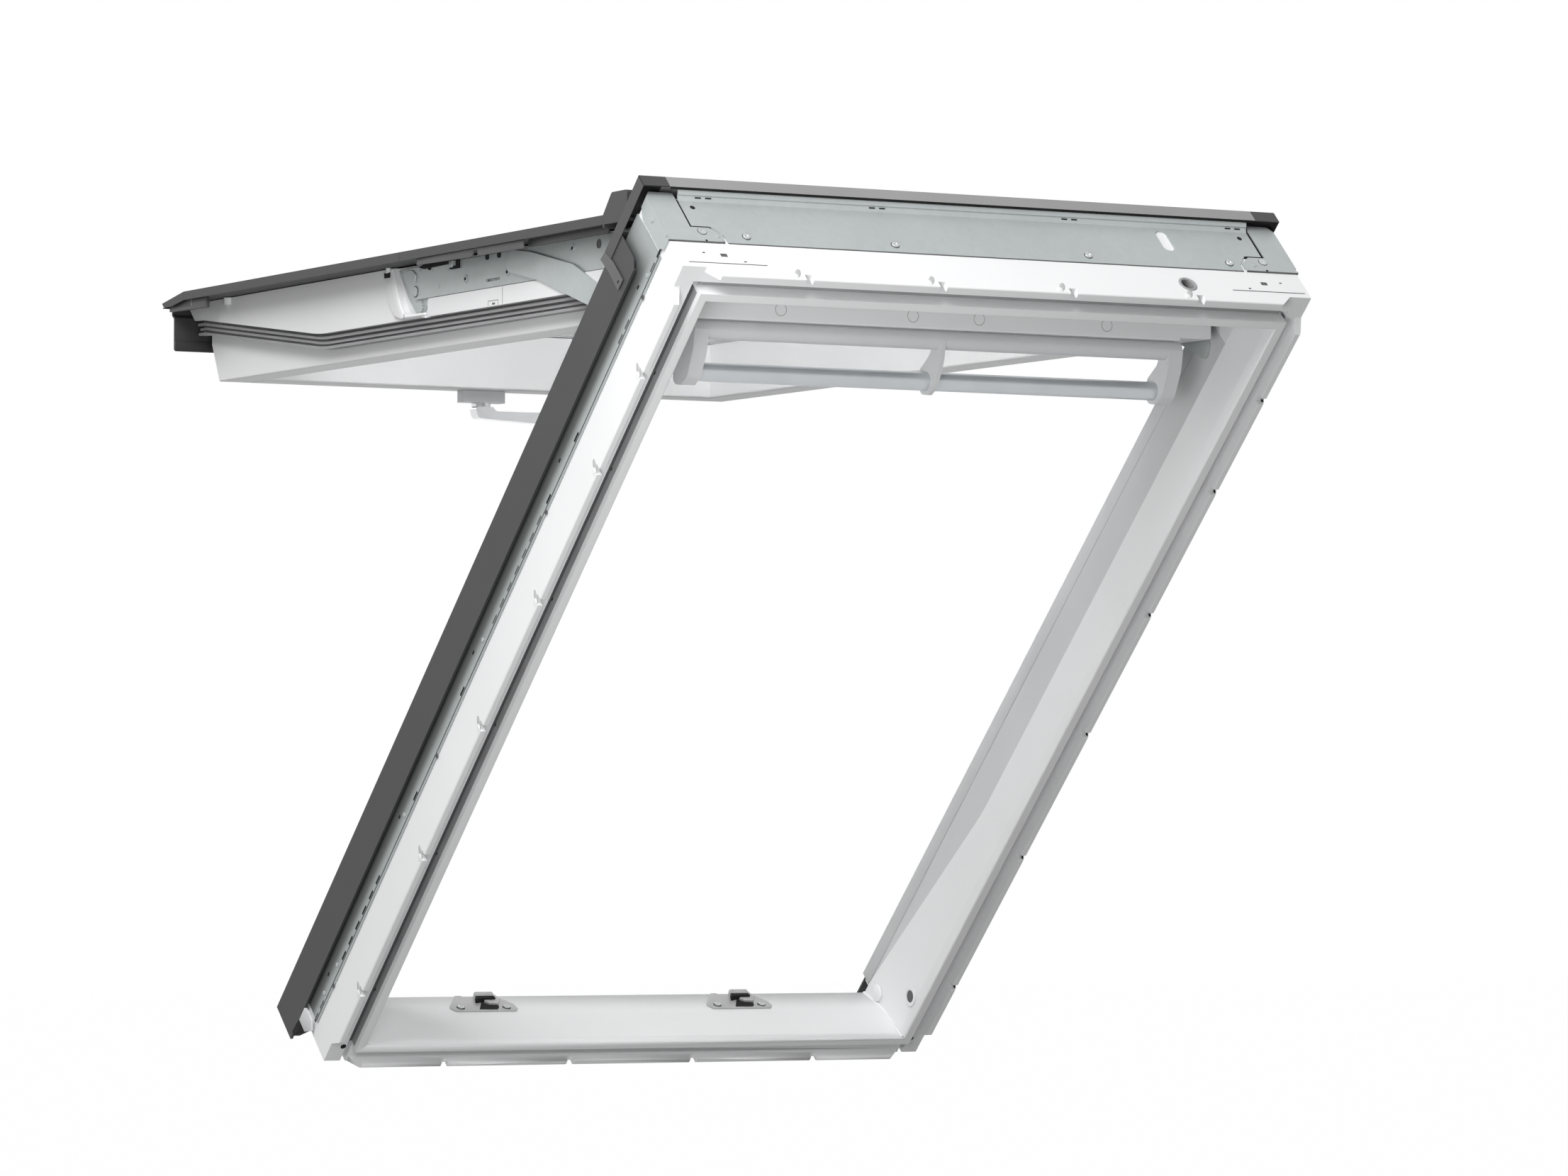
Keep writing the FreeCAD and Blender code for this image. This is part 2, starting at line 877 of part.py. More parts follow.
def make_gaskets():
    root = sash_side - seat
    web = across(gasket_band(seat, gasket_height), root - gasket_web, root)
    lips = []
    for low, reach in gasket_lips:
        lips.append(across(gasket_band(low, low + gasket_lip), root - reach, root - gasket_web + 1))
    gasket = web.fuse(lips).removeSplitter()
    keep_pair("gasket", opened(gasket))
    low = sill_height + seat
    bottom = across(
        [
            (sash_foot + bottom_flare + seat, low + 4),
            (frame_height - 18, low, 1),
            (frame_height - 14, low + 3, 1),
            (frame_height - 18, low + gasket_height - 1),
            (sash_foot + bottom_flare + seat, low + gasket_height - 1),
        ],
        root + 1,
        frame_width - root - 1,
    )
    keep("gasket_bottom", opened(bottom))


def make_linkage():
    arm_start = shell_side + 1.5
    arm_end = arm_start + arm_thickness
    low_end = pivot_down + arm_end_low
    high_end = pivot_down + arm_end_high
    arm = across(
        [
            (hinge_down - hinge_eye, arm_low + arm_heel),
            (hinge_down - hinge_eye + arm_heel, arm_low),
            (low_end, arm_low, 6),
            (high_end, arm_high, 5),
            (hinge_down + arm_shoulder, arm_high),
            (hinge_down + hinge_eye, hinge_out + hinge_eye, 8),
            (hinge_down - hinge_eye, hinge_out + hinge_eye, 8),
        ],
        arm_start,
        arm_end,
    )
    eye = rod(hinge_pin_radius + pin_clearance, arm_start - 1, arm_end + 1, hinge_down, hinge_out)
    pivot_hole = rod(pivot_radius + pin_clearance, arm_start - 1, arm_end + 1, pivot_down, pivot_out)
    half = arm_slot_length / 2
    slot_low = (arm_start - 1, arm_slot_down - half, arm_slot_out - arm_slot_height / 2)
    slot_high = (arm_end + 1, arm_slot_down + half, arm_slot_out + arm_slot_height / 2)
    slot = block(slot_low, slot_high)
    keep_pair("hinge_arm", opened(arm.cut([eye, pivot_hole, slot])))

    hinge = across(
        [
            (rebate_width + hinge_plate_start, hinge_plate_low),
            (hinge_down + hinge_plate_reach, hinge_plate_low),
            (hinge_down + hinge_plate_reach, frame_depth),
            (hinge_down + hinge_boss, hinge_out + hinge_boss, hinge_boss - 1),
            (hinge_down - hinge_boss, hinge_out + hinge_boss, hinge_boss - 1),
            (rebate_width + hinge_plate_start, frame_depth),
        ],
        rebate_width,
        rebate_width + arm_thickness,
    )
    pin = rod(hinge_pin_radius, rebate_width + 1, arm_end, hinge_down, hinge_out)
    keep_pair("hinge_bracket", hinge.fuse(pin).removeSplitter())

    plate = across(
        [
            (strip_end + 2, strip_top + 1),
            (strip_end + 17, cut_out_low + 1),
            (cut_out_down - cut_out_slant - cut_out_round, cut_out_low + 1),
            (cut_out_down - cut_out_slant, cut_out_low + cut_out_round),
            (cut_out_down - 2, arm_high),
            (strip_end + 2, arm_high),
        ],
        pocket_side - steel,
        pocket_side,
    )
    pin = rod(pivot_radius, arm_start - 1, pocket_side, pivot_down, pivot_out)
    teeth = ratchet()
    keep_pair("pivot_plate", opened(plate.fuse([pin, teeth]).removeSplitter()))


def ratchet():
    # Toothed sector that meshes below the pivot and locks the sash for cleaning.
    tooth = ((0.0, ratchet_root), (0.3, ratchet_tip), (0.55, ratchet_tip), (0.7, ratchet_root))
    corners = []
    for i in range(ratchet_teeth):
        for share, radius in tooth:
            angle = 2 * math.pi * (i + share) / ratchet_teeth
            down_at = pivot_down - ratchet_short + radius * math.cos(angle)
            corners.append((down_at, ratchet_out + radius * math.sin(angle)))
    face = pocket_side - steel
    return across(corners, face - ratchet_thickness, face)


def make_stays():
    turn = math.radians(opening_angle)
    rise = stay_arm_down - hinge_down
    fall = stay_arm_out - hinge_out
    far = Vector(
        hinge_down + rise * math.cos(turn) - fall * math.sin(turn),
        hinge_out + rise * math.sin(turn) + fall * math.cos(turn),
        0,
    )
    near = Vector(stay_jamb_down, stay_jamb_out, 0)
    along = (far - near).normalize()
    side = Vector(-along.y, along.x, 0)
    length = (far - near).Length
    tip = stay_end * 3 / 4
    shape = [
        (-stay_end, -stay_end, tip),
        (length / 4, -stay_back),
        (length * 3 / 4, -stay_back),
        (length + stay_end, -stay_end, tip),
        (length + stay_end, stay_end, tip),
        (length * 6 / 7, stay_hip),
        (length / 2, stay_belly, length / 12),
        (length / 4, stay_hip),
        (-stay_end, stay_end, tip),
    ]
    corners = []
    for corner in shape:
        point = near + along * corner[0] + side * corner[1]
        corners.append((point.x, point.y) + corner[2:])
    start = rebate_width + seat
    bar = across(corners, start, start + stay_thickness)
    keep_pair("stay_bar", bar)


def make_vent_bar():
    left = vent_side_inset
    right = frame_width - vent_side_inset
    tube_out = sash_rail_face - vent_tube_gap - vent_tube_radius
    tube = rod(vent_tube_radius, left, right, vent_tube_down, tube_out)
    keep("vent_tube", opened(tube))

    pull = rod(pull_tube_radius, left + 1, right - 1, pull_tube_down, pull_tube_out)
    keep("pull_tube", opened(pull))

    front = vent_tube_down - vent_tube_radius - bracket_front
    corners = [
        (front, tube_out),
        (front + 4, tube_out - bracket_drop, 30),
        (pull_tube_down - bracket_boss - 4, pull_tube_out - bracket_boss + 5, 12),
        (pull_tube_down - 4, pull_tube_out - bracket_boss - 2, 6),
        (pull_tube_down + bracket_boss, pull_tube_out - bracket_boss, 9),
        (pull_tube_down + bracket_boss, pull_tube_out + bracket_boss, 10),
        (vent_tube_down + vent_tube_radius + 4, tube_out - bracket_reach_back, 12),
        (vent_tube_down + vent_tube_radius + 0.5, tube_out - 4),
        (vent_tube_down, tube_out + 2),
    ]
    cut_tube = rod(vent_tube_radius, left - 5, right + 5, vent_tube_down, tube_out)
    cut_pull = rod(pull_tube_radius, left + 1, right - 1, pull_tube_down, pull_tube_out)
    middle = frame_width / 2
    places = {
        "vent_bracket_left": (left, left + end_bracket_width),
        "vent_bracket_middle": (middle - middle_bracket_width / 2, middle + middle_bracket_width / 2),
        "vent_bracket_right": (right - end_bracket_width, right),
    }
    for name, (start, end) in places.items():
        keep(name, opened(across(corners, start, end).cut([cut_tube, cut_pull])))


def make_handle():
    middle = frame_width / 2
    place = sash_foot - handle_place_in_rail
    top = sash_room_face - seat
    low = top - handle_base_height
    half = handle_base_width / 2
    base = out(
        [
            (middle - half, place - handle_base_depth / 2, handle_base_round),
            (middle + half, place - handle_base_depth / 2, handle_base_round),
            (middle + half, place + handle_base_depth / 2, handle_base_round),
            (middle - half, place + handle_base_depth / 2, handle_base_round),
        ],
        low,
        top,
    )
    socket = Part.makeCylinder(spindle_radius + pin_clearance, handle_base_height, Vector(middle, place, low))
    keep("handle_base", opened(base.cut(socket)))

    top = low - lever_clearance
    bottom = top - lever_thickness
    start = Vector(middle, place, top)
    neck = Part.makeCylinder(spindle_radius, lever_clearance + handle_base_height - 2, start)
    collar = Part.makeCylinder(lever_root / 2, lever_clearance - seat, start)
    root = lever_root / 2
    tip = middle + lever_length
    grip = down(
        [
            (middle - root, top, 3),
            (middle - root + lever_swell, bottom, 6),
            (middle + lever_length * 0.55, bottom - lever_swell, lever_crown),
            (tip, bottom + 2, lever_tip_round),
            (tip, bottom + lever_thickness - 2, lever_tip_round),
            (middle + lever_length / 2, top - lever_slope, lever_crown),
            (middle + root + lever_swell, top - lever_slope, 6),
            (middle + root, top),
        ],
        place - lever_width / 2,
        place + lever_width / 2,
    )
    keep("handle_lever", opened(grip.fuse([neck, collar]).removeSplitter()))


make_frame()
make_frame_steel()
make_frame_cladding()
make_frame_fittings()
make_sash_frame()
make_glass()
make_sash_cladding()
make_gaskets()
make_linkage()
make_stays()
make_vent_bar()
make_handle()

os.makedirs("parts", exist_ok=True)
for name, shape in nodes.items():
    shape.exportStep("parts/" + name + ".step")
    box = shape.BoundBox
    print(f"{name:22s} solids {len(shape.Solids)} valid {shape.isValid()} volume {shape.Volume / 1e6:.4f} l", end=" ")
    print(f"y {box.YMin:.0f}..{box.YMax:.0f} z {box.ZMin:.0f}..{box.ZMax:.0f}")
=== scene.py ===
import bpy
import json
import math
from mathutils import Matrix, Vector


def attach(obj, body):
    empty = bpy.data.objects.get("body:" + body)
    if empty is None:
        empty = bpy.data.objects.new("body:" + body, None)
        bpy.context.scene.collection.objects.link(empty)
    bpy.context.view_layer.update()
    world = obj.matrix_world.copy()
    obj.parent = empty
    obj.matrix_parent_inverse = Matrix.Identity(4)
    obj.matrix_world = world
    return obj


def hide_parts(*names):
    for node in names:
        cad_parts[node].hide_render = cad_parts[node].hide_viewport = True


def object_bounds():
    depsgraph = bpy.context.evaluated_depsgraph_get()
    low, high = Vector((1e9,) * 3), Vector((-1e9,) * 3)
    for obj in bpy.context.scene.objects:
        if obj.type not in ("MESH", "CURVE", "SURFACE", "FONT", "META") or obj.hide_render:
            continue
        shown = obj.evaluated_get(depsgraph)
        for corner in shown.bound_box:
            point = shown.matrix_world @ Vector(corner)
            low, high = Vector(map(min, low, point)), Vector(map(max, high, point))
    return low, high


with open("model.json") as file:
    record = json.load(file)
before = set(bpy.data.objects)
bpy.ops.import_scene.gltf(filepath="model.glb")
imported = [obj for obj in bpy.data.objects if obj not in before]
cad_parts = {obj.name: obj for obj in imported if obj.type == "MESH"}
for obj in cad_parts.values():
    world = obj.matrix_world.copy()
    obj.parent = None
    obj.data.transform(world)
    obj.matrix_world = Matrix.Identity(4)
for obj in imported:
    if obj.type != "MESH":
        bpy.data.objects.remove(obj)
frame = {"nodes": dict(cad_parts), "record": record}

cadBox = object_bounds()
nodes = frame["nodes"]
print("stage: frame loaded,", len(nodes), "nodes")


surface = {
    "toneDetail": 3.0, "grainDetail": 5.0, "flakeShare": 0.22, "rampEnds": (0.25, 0.75), "bumpDepth": 0.0003,
}


def noiseNode(tree, place, scale, detail):
    noise = tree.nodes.new("ShaderNodeTexNoise")
    noise.inputs["Scale"].default_value = scale
    noise.inputs["Detail"].default_value = detail
    tree.links.new(place, noise.inputs["Vector"])
    return noise.outputs["Fac"]


def mathNode(tree, operation, first, second):
    # a sum, product or the like of two outputs
    node = tree.nodes.new("ShaderNodeMath")
    node.operation = operation
    tree.links.new(first, node.inputs[0])
    tree.links.new(second, node.inputs[1])
    return node.outputs["Value"]


def easedShare(tree, value, low, high):
    # 0 below low and 1 above high, eased in between
    node = tree.nodes.new("ShaderNodeMapRange")
    node.interpolation_type = "SMOOTHSTEP"
    node.inputs["From Min"].default_value = low
    node.inputs["From Max"].default_value = high
    tree.links.new(value, node.inputs["Value"])
    return node.outputs["Result"]


def newMaterial(name, values):
    # one principled shader; tone, gloss and a fine bump vary a little over the surface
    mat = bpy.data.materials.new(name)
    mat.use_nodes = True
    tree = mat.node_tree
    link = tree.links.new
    shader = tree.nodes["Principled BSDF"]
    shader.inputs["Metallic"].default_value = values["metal"]
    shader.inputs["Specular IOR Level"].default_value = values.get("specular", 0.5)
    place = tree.nodes.new("ShaderNodeTexCoord").outputs["Object"]
    spread = noiseNode(tree, place, values["toneScale"], surface["toneDetail"])
    if "flake" in values:  # zinc crystals: cells of slightly different tone over the slow drift
        cells = tree.nodes.new("ShaderNodeTexVoronoi")
        cells.inputs["Scale"].default_value = values["flake"]
        link(place, cells.inputs["Vector"])
        grey = tree.nodes.new("ShaderNodeRGBToBW")
        link(cells.outputs["Color"], grey.inputs["Color"])
        blend = tree.nodes.new("ShaderNodeMix")
        blend.inputs["Factor"].default_value = surface["flakeShare"]
        link(spread, blend.inputs["A"])
        link(grey.outputs["Val"], blend.inputs["B"])
        spread = blend.outputs["Result"]
    ramp = tree.nodes.new("ShaderNodeValToRGB")
    for stop, at, shade in zip(ramp.color_ramp.elements, surface["rampEnds"], ("dark", "light")):
        stop.position = at
        stop.color = (*values[shade], 1)
    link(spread, ramp.inputs["Fac"])
    colour = ramp.outputs["Color"]
    if "fade" in values:  # painted shadow: the steel's colour darkens under the cover, where its shade falls: out of the roof plane and down the slope
        split = tree.nodes.new("ShaderNodeSeparateXYZ")
        link(place, split.inputs["Vector"])
        rise = mathNode(tree, "ADD", split.outputs["Y"], split.outputs["Z"])
        fall = mathNode(tree, "SUBTRACT", split.outputs["Y"], split.outputs["Z"])
        rise, fall = easedShare(tree, rise, *values["fade"]), easedShare(tree, fall, *values["fadeStart"])
        cover = tree.nodes.new("ShaderNodeMix")
        cover.data_type = "RGBA"
        cover.inputs["B"].default_value = (*values["fadeTone"], 1)
        link(mathNode(tree, "MULTIPLY", rise, fall), cover.inputs["Factor"])
        link(colour, cover.inputs["A"])
        colour = cover.outputs["Result"]
    link(colour, shader.inputs["Base Color"])
    gloss = tree.nodes.new("ShaderNodeMapRange")
    gloss.inputs["To Min"].default_value = values["rough"][0]
    gloss.inputs["To Max"].default_value = values["rough"][1]
    link(spread, gloss.inputs["Value"])
    link(gloss.outputs["Result"], shader.inputs["Roughness"])
    bump = tree.nodes.new("ShaderNodeBump")
    bump.inputs["Strength"].default_value = values["bump"]
    bump.inputs["Distance"].default_value = surface["bumpDepth"]
    link(noiseNode(tree, place, values["grain"], surface["grainDetail"]), bump.inputs["Height"])
    link(bump.outputs["Normal"], shader.inputs["Normal"])
    return mat


finishes = {
    "whitePlastic": {
        "dark": (0.79, 0.795, 0.80), "light": (0.83, 0.835, 0.84), "rough": (0.36, 0.46), "metal": 0.0,
        "specular": 0.35, "toneScale": 6.0, "grain": 900.0, "bump": 0.05,
    },
    "zincSteel": {
        "dark": (0.40, 0.435, 0.43), "light": (0.455, 0.49, 0.485), "rough": (0.38, 0.50), "metal": 0.35,
        "specular": 0.4, "toneScale": 9.0, "flake": 140.0, "grain": 500.0, "bump": 0.04,
    },
    # zinc steel with painted shade: darker all over, and darker still under the cover where its shadow falls
    "zincSteelPaintedShade": {
        "dark": (0.33, 0.36, 0.355), "light": (0.385, 0.415, 0.41), "rough": (0.40, 0.52), "metal": 0.3,
        "specular": 0.4, "toneScale": 9.0, "flake": 140.0, "grain": 500.0, "bump": 0.04,
        "fade": (0.0125, 0.0330), "fadeStart": (-1.635, -1.560), "fadeTone": (0.085, 0.091, 0.089),
    },
    "darkPaint": {
        "dark": (0.042, 0.042, 0.043), "light": (0.052, 0.052, 0.053), "rough": (0.48, 0.58), "metal": 0.0,
        "specular": 0.3, "toneScale": 12.0, "grain": 1500.0, "bump": 0.08,
    },
    "headPaint": {
        "dark": (0.265, 0.265, 0.265), "light": (0.29, 0.29, 0.29), "rough": (0.42, 0.50), "metal": 0.1,
        "specular": 0.35, "toneScale": 12.0, "grain": 1500.0, "bump": 0.06,
    },
    "capPlastic": {
        "dark": (0.040, 0.040, 0.041), "light": (0.050, 0.050, 0.051), "rough": (0.40, 0.52), "metal": 0.0,
        "specular": 0.35, "toneScale": 20.0, "grain": 1200.0, "bump": 0.10,
    },
    # dark trim plastic; also used as painted shade in slots, holes, gaps, the groove and round screws
    "darkTrimAndPaintedShade": {
        "dark": (0.080, 0.080, 0.082), "light": (0.10, 0.10, 0.102), "rough": (0.42, 0.55), "metal": 0.0,
        "specular": 0.35, "toneScale": 20.0, "grain": 1200.0, "bump": 0.10,
    },
    # pale grey plastic; also used as painted shade on the rebate's faces
    "paleGreyAndPaintedShade": {
        "dark": (0.56, 0.565, 0.57), "light": (0.60, 0.605, 0.61), "rough": (0.42, 0.55), "metal": 0.0,
        "specular": 0.35, "toneScale": 8.0, "grain": 900.0, "bump": 0.05,
    },
    "strikerMetal": {
        "dark": (0.40, 0.40, 0.405), "light": (0.45, 0.45, 0.455), "rough": (0.35, 0.45), "metal": 0.3,
        "specular": 0.4, "toneScale": 40.0, "grain": 900.0, "bump": 0.05,
    },
    "screwMetal": {
        "dark": (0.50, 0.52, 0.52), "light": (0.62, 0.64, 0.64), "rough": (0.22, 0.32), "metal": 0.8,
        "specular": 0.5, "toneScale": 90.0, "grain": 1200.0, "bump": 0.03,
    },
    # black parts; also used as painted shadow in gaps, slots, holes and hollows
    "paintedShadowAndBlack": {
        "dark": (0.012, 0.012, 0.012), "light": (0.020, 0.020, 0.020), "rough": (0.70, 0.80), "metal": 0.0,
        "specular": 0.1, "toneScale": 30.0, "grain": 900.0, "bump": 0.05,
    },
    # grey seal; also used as painted shade in the groove's ends and on the inner lip
    "greySealAndPaintedShade": {
        "dark": (0.27, 0.27, 0.275), "light": (0.33, 0.33, 0.335), "rough": (0.50, 0.62), "metal": 0.0,
        "specular": 0.4, "toneScale": 30.0, "grain": 1500.0, "bump": 0.08,
    },
    # painted shade of the lips' screw pockets
    "dimplePaintedShade": {
        "dark": (0.44, 0.44, 0.445), "light": (0.50, 0.50, 0.505), "rough": (0.45, 0.55), "metal": 0.0,
        "specular": 0.35, "toneScale": 30.0, "grain": 900.0, "bump": 0.05,
    },
    "blackRubber": {
        "dark": (0.018, 0.018, 0.019), "light": (0.026, 0.026, 0.027), "rough": (0.60, 0.72), "metal": 0.0,
        "specular": 0.3, "toneScale": 35.0, "grain": 1500.0, "bump": 0.10,
    },
    "spacerMetal": {
        "dark": (0.45, 0.46, 0.47), "light": (0.55, 0.56, 0.57), "rough": (0.3, 0.4), "metal": 0.9,
        "toneScale": 50.0, "grain": 800.0, "bump": 0.05,
    },
    "chrome": {
        "dark": (0.72, 0.73, 0.74), "light": (0.80, 0.81, 0.82), "rough": (0.10, 0.18), "metal": 1.0,
        "toneScale": 25.0, "grain": 900.0, "bump": 0.02,
    },
    "blueGreyMetal": {
        "dark": (0.56, 0.59, 0.61), "light": (0.62, 0.65, 0.67), "rough": (0.28, 0.38), "metal": 0.5,
        "toneScale": 25.0, "grain": 1300.0, "bump": 0.03,
    },
    "ventPlastic": {
        "dark": (0.66, 0.67, 0.68), "light": (0.71, 0.72, 0.73), "rough": (0.30, 0.40), "metal": 0.0,
        "specular": 0.5, "toneScale": 15.0, "grain": 1300.0, "bump": 0.03,
    },
}
looks = {name: newMaterial(name, values) for name, values in finishes.items()}


def newGlass(values):
    mat = bpy.data.materials.new("clearPane")
    mat.use_nodes = True
    shader = mat.node_tree.nodes["Principled BSDF"]
    shader.inputs["Base Color"].default_value = (*values["tint"], 1)
    shader.inputs["Transmission Weight"].default_value = 1.0
    shader.inputs["Roughness"].default_value = values["rough"]
    shader.inputs["IOR"].default_value = values["bend"]
    return mat


looks["clearPane"] = newGlass({"tint": (1.0, 1.0, 1.0), "rough": 0.0, "bend": 1.03})

slotLooks = {
    "white_plastic": "whitePlastic", "galvanised": "zincSteel", "cladding": "darkPaint",
    "black_plastic": "capPlastic", "seal": "greySealAndPaintedShade", "glass": "clearPane", "spacer": "spacerMetal",
    "satin_metal": "chrome", "vent_plastic": "ventPlastic",
}
nodeLooks = {
    "head_cover": "headPaint", "handle_base": "ventPlastic", "gasket_bottom": "blackRubber",
    "side_plate_left": "zincSteelPaintedShade", "side_plate_right": "zincSteelPaintedShade", "pull_tube": "blueGreyMetal",
}
for part in frame["record"]["subparts"]:
    look = nodeLooks.get(part["node"], slotLooks[part["material_slot"]])
    nodes[part["node"]].data.materials.clear()
    nodes[part["node"]].data.materials.append(looks[look])
print("stage: finishes on the frame's nodes")

# Pieces are drawn like the CAD: u across from the left face, v down the slope from the head's
# outer face, n out from the room side, all in mm. The roof or the open sash then carries them.
mm = 0.001
roof = {"across": 780, "along": 1178, "faceOut": 37.75, "pitch": 45}
hinge = {"along": 44, "out": 132.5, "swing": 45}
shiftRoof = Matrix.Translation(Vector((-roof["across"] / 2, -roof["along"], -roof["faceOut"])) * mm)
onRoof = Matrix.Rotation(math.radians(-roof["pitch"]), 4, "X") @ shiftRoof
shiftHinge = Matrix.Translation(Vector((0, hinge["along"], hinge["out"])) * mm)
swing = Matrix.Rotation(math.radians(hinge["swing"]), 4, "X")
onSash = onRoof @ shiftHinge @ swing @ shiftHinge.inverted()
facings = {
    "left": Vector((-1, 0, 0)), "right": Vector((1, 0, 0)), "head": Vector((0, -1, 0)),
    "room": Vector((0, 0, -1)), "sky": Vector((0, 0, 1)),
}
planeOrder = {"u": (1, 2, 0), "v": (0, 2, 1), "n": (0, 1, 2)}
edges = {"bevelFrom": 35, "smoothBelow": 32, "roundSteps": 4, "square": 0.9}


def spotOn(across, first, second, depth):
    # a point from its two outline sizes and its depth along the axis named by `across`
    place = [0, 0, 0]
    for axis, value in zip(planeOrder[across], (first, second, depth)):
        place[axis] = value * mm
    return Vector(place)


def dropSelection():
    bpy.ops.object.select_all(action="DESELECT")


def pick(piece):
    dropSelection()
    piece.select_set(True)
    bpy.context.view_layer.objects.active = piece


def editFaces(piece, wanted):
    # edit mode with only the wanted faces selected
    pick(piece)
    bpy.ops.object.mode_set(mode="EDIT")
    bpy.ops.mesh.select_mode(type="FACE")
    bpy.ops.mesh.select_all(action="DESELECT")
    bpy.ops.object.mode_set(mode="OBJECT")
    for face in piece.data.polygons:
        face.select = wanted(face)
    bpy.ops.object.mode_set(mode="EDIT")


def leaveEdit(piece):
    bpy.ops.mesh.select_all(action="SELECT")
    bpy.ops.mesh.normals_make_consistent(inside=False)
    bpy.ops.object.mode_set(mode="OBJECT")
    return piece


def soften(piece, width, segments=2):
    pick(piece)
    bevel = piece.modifiers.new("edge", "BEVEL")
    bevel.width = width * mm
    bevel.segments = segments
    bevel.limit_method = "ANGLE"
    bevel.angle_limit = math.radians(edges["bevelFrom"])
    bpy.ops.object.modifier_apply(modifier=bevel.name)
    return piece


def drawLine(spots):
    # a chain of edges drawn point by point, from a small plane merged to its middle
    dropSelection()
    bpy.ops.mesh.primitive_plane_add(size=mm, location=spots[0])
    piece = bpy.context.active_object
    bpy.ops.object.mode_set(mode="EDIT")
    bpy.ops.mesh.select_mode(type="VERT")
    bpy.ops.mesh.merge(type="CENTER")
    for here, there in zip(spots, spots[1:]):
        bpy.ops.mesh.extrude_region_move(TRANSFORM_OT_translate={"value": there - here})
    return piece


def slab(points, across, low, high, edge=0.0, corner=0.0, segments=2):
    # a flat piece from its outline; corner rounds the outline, edge rounds the rim
    piece = drawLine([spotOn(across, *point, low) for point in points])
    bpy.ops.mesh.select_all(action="SELECT")
    bpy.ops.mesh.edge_face_add()
    if corner:
        bpy.ops.mesh.select_all(action="SELECT")
        bpy.ops.mesh.bevel(affect="VERTICES", offset=corner * mm, segments=edges["roundSteps"])
    bpy.ops.mesh.select_all(action="SELECT")
    bpy.ops.mesh.extrude_region_move(TRANSFORM_OT_translate={"value": spotOn(across, 0, 0, high - low)})
    leaveEdit(piece)
    return soften(piece, edge, segments) if edge else piece


def panel(first, second, across, low, high, edge=0.0, corner=0.0):
    # a slab with straight sides, given by its two ends each way
    (a, b), (c, d) = first, second
    return slab([(a, c), (b, c), (b, d), (a, d)], across, low, high, edge, corner)


def oblong(middle, half, across, low, high, edge=0.0, corner=0.0):
    # the same, given by its middle and half sizes
    ends = [(at - reach, at + reach) for at, reach in zip(middle, half)]
    return panel(*ends, across, low, high, edge, corner)


def wire(points, across, depth, radius, bend=0.0):
    # round wire along a line on one plane, its corners rounded by bend
    piece = drawLine([spotOn(across, *point, depth) for point in points])
    if bend:
        bpy.ops.mesh.select_all(action="SELECT")
        bpy.ops.mesh.bevel(affect="VERTICES", offset=bend * mm, segments=edges["roundSteps"])
    bpy.ops.object.mode_set(mode="OBJECT")
    bpy.ops.object.convert(target="CURVE")
    line = bpy.context.active_object
    line.data.bevel_depth = radius * mm
    line.data.bevel_resolution = 2
    line.data.use_fill_caps = True
    bpy.ops.object.convert(target="MESH")
    return bpy.context.active_object


def turnedHead(radius, height, rim=0.3, socket=0.0, sink=0.6, corners=24, dome=0.25):
    # a round head standing on the origin: rim stepped in, and a socket sunk in its middle
    dropSelection()
    bpy.ops.mesh.primitive_cylinder_add(
        vertices=corners, radius=radius * mm, depth=height * mm, location=(0, 0, height / 2 * mm),
    )
    piece = bpy.context.active_object
    editFaces(piece, lambda face: face.normal.z > edges["square"])
    bpy.ops.mesh.inset(thickness=radius * rim * mm)
    bpy.ops.transform.translate(value=(0, 0, height * dome * mm))
    if socket:
        bpy.ops.mesh.inset(thickness=(radius * (1 - rim) - socket) * mm)
        bpy.ops.mesh.extrude_region_move(TRANSFORM_OT_translate={"value": (0, 0, -sink * height * mm)})
    return leaveEdit(piece)


def turnedRing(outer, inner, height, floor=0.15, corners=32):
    # a round rim with a sunk middle, standing on the origin
    dropSelection()
    bpy.ops.mesh.primitive_cylinder_add(
        vertices=corners, radius=outer * mm, depth=height * mm, location=(0, 0, height / 2 * mm),
    )
    piece = bpy.context.active_object
    editFaces(piece, lambda face: face.normal.z > edges["square"])
    bpy.ops.mesh.inset(thickness=(outer - inner) * mm)
    bpy.ops.mesh.extrude_region_move(TRANSFORM_OT_translate={"value": (0, 0, -height * (1 - floor) * mm)})
    return leaveEdit(piece)


def flatBead(radius, thick, flat, around, section):
    # a round bead lying on the origin, pressed flat
    dropSelection()
    bpy.ops.mesh.primitive_torus_add(
        major_radius=radius * mm, minor_radius=thick * mm, major_segments=around, minor_segments=section,
    )
    piece = bpy.context.active_object
    bpy.ops.object.mode_set(mode="EDIT")
    bpy.ops.transform.resize(value=(1, 1, flat))
    return leaveEdit(piece)


def joined(pieces):
    dropSelection()
    for piece in pieces:
        piece.select_set(True)
    bpy.context.view_layer.objects.active = pieces[0]
    if len(pieces) > 1:
        bpy.ops.object.join()
    return pieces[0]


def standAt(piece, places, facing):
    # copies of one piece, each with its own mesh, stood on the places and joined
    turn = facings[facing].to_track_quat("Z", "Y").to_matrix().to_4x4()
    copies = []
    for place in places:
        pick(piece)
        bpy.ops.object.duplicate(linked=False)
        copy = bpy.context.active_object
        copy.matrix_world = Matrix.Translation(Vector(place) * mm) @ turn @ piece.matrix_world
        copies.append(copy)
    bpy.data.objects.remove(piece)
    return joined(copies)


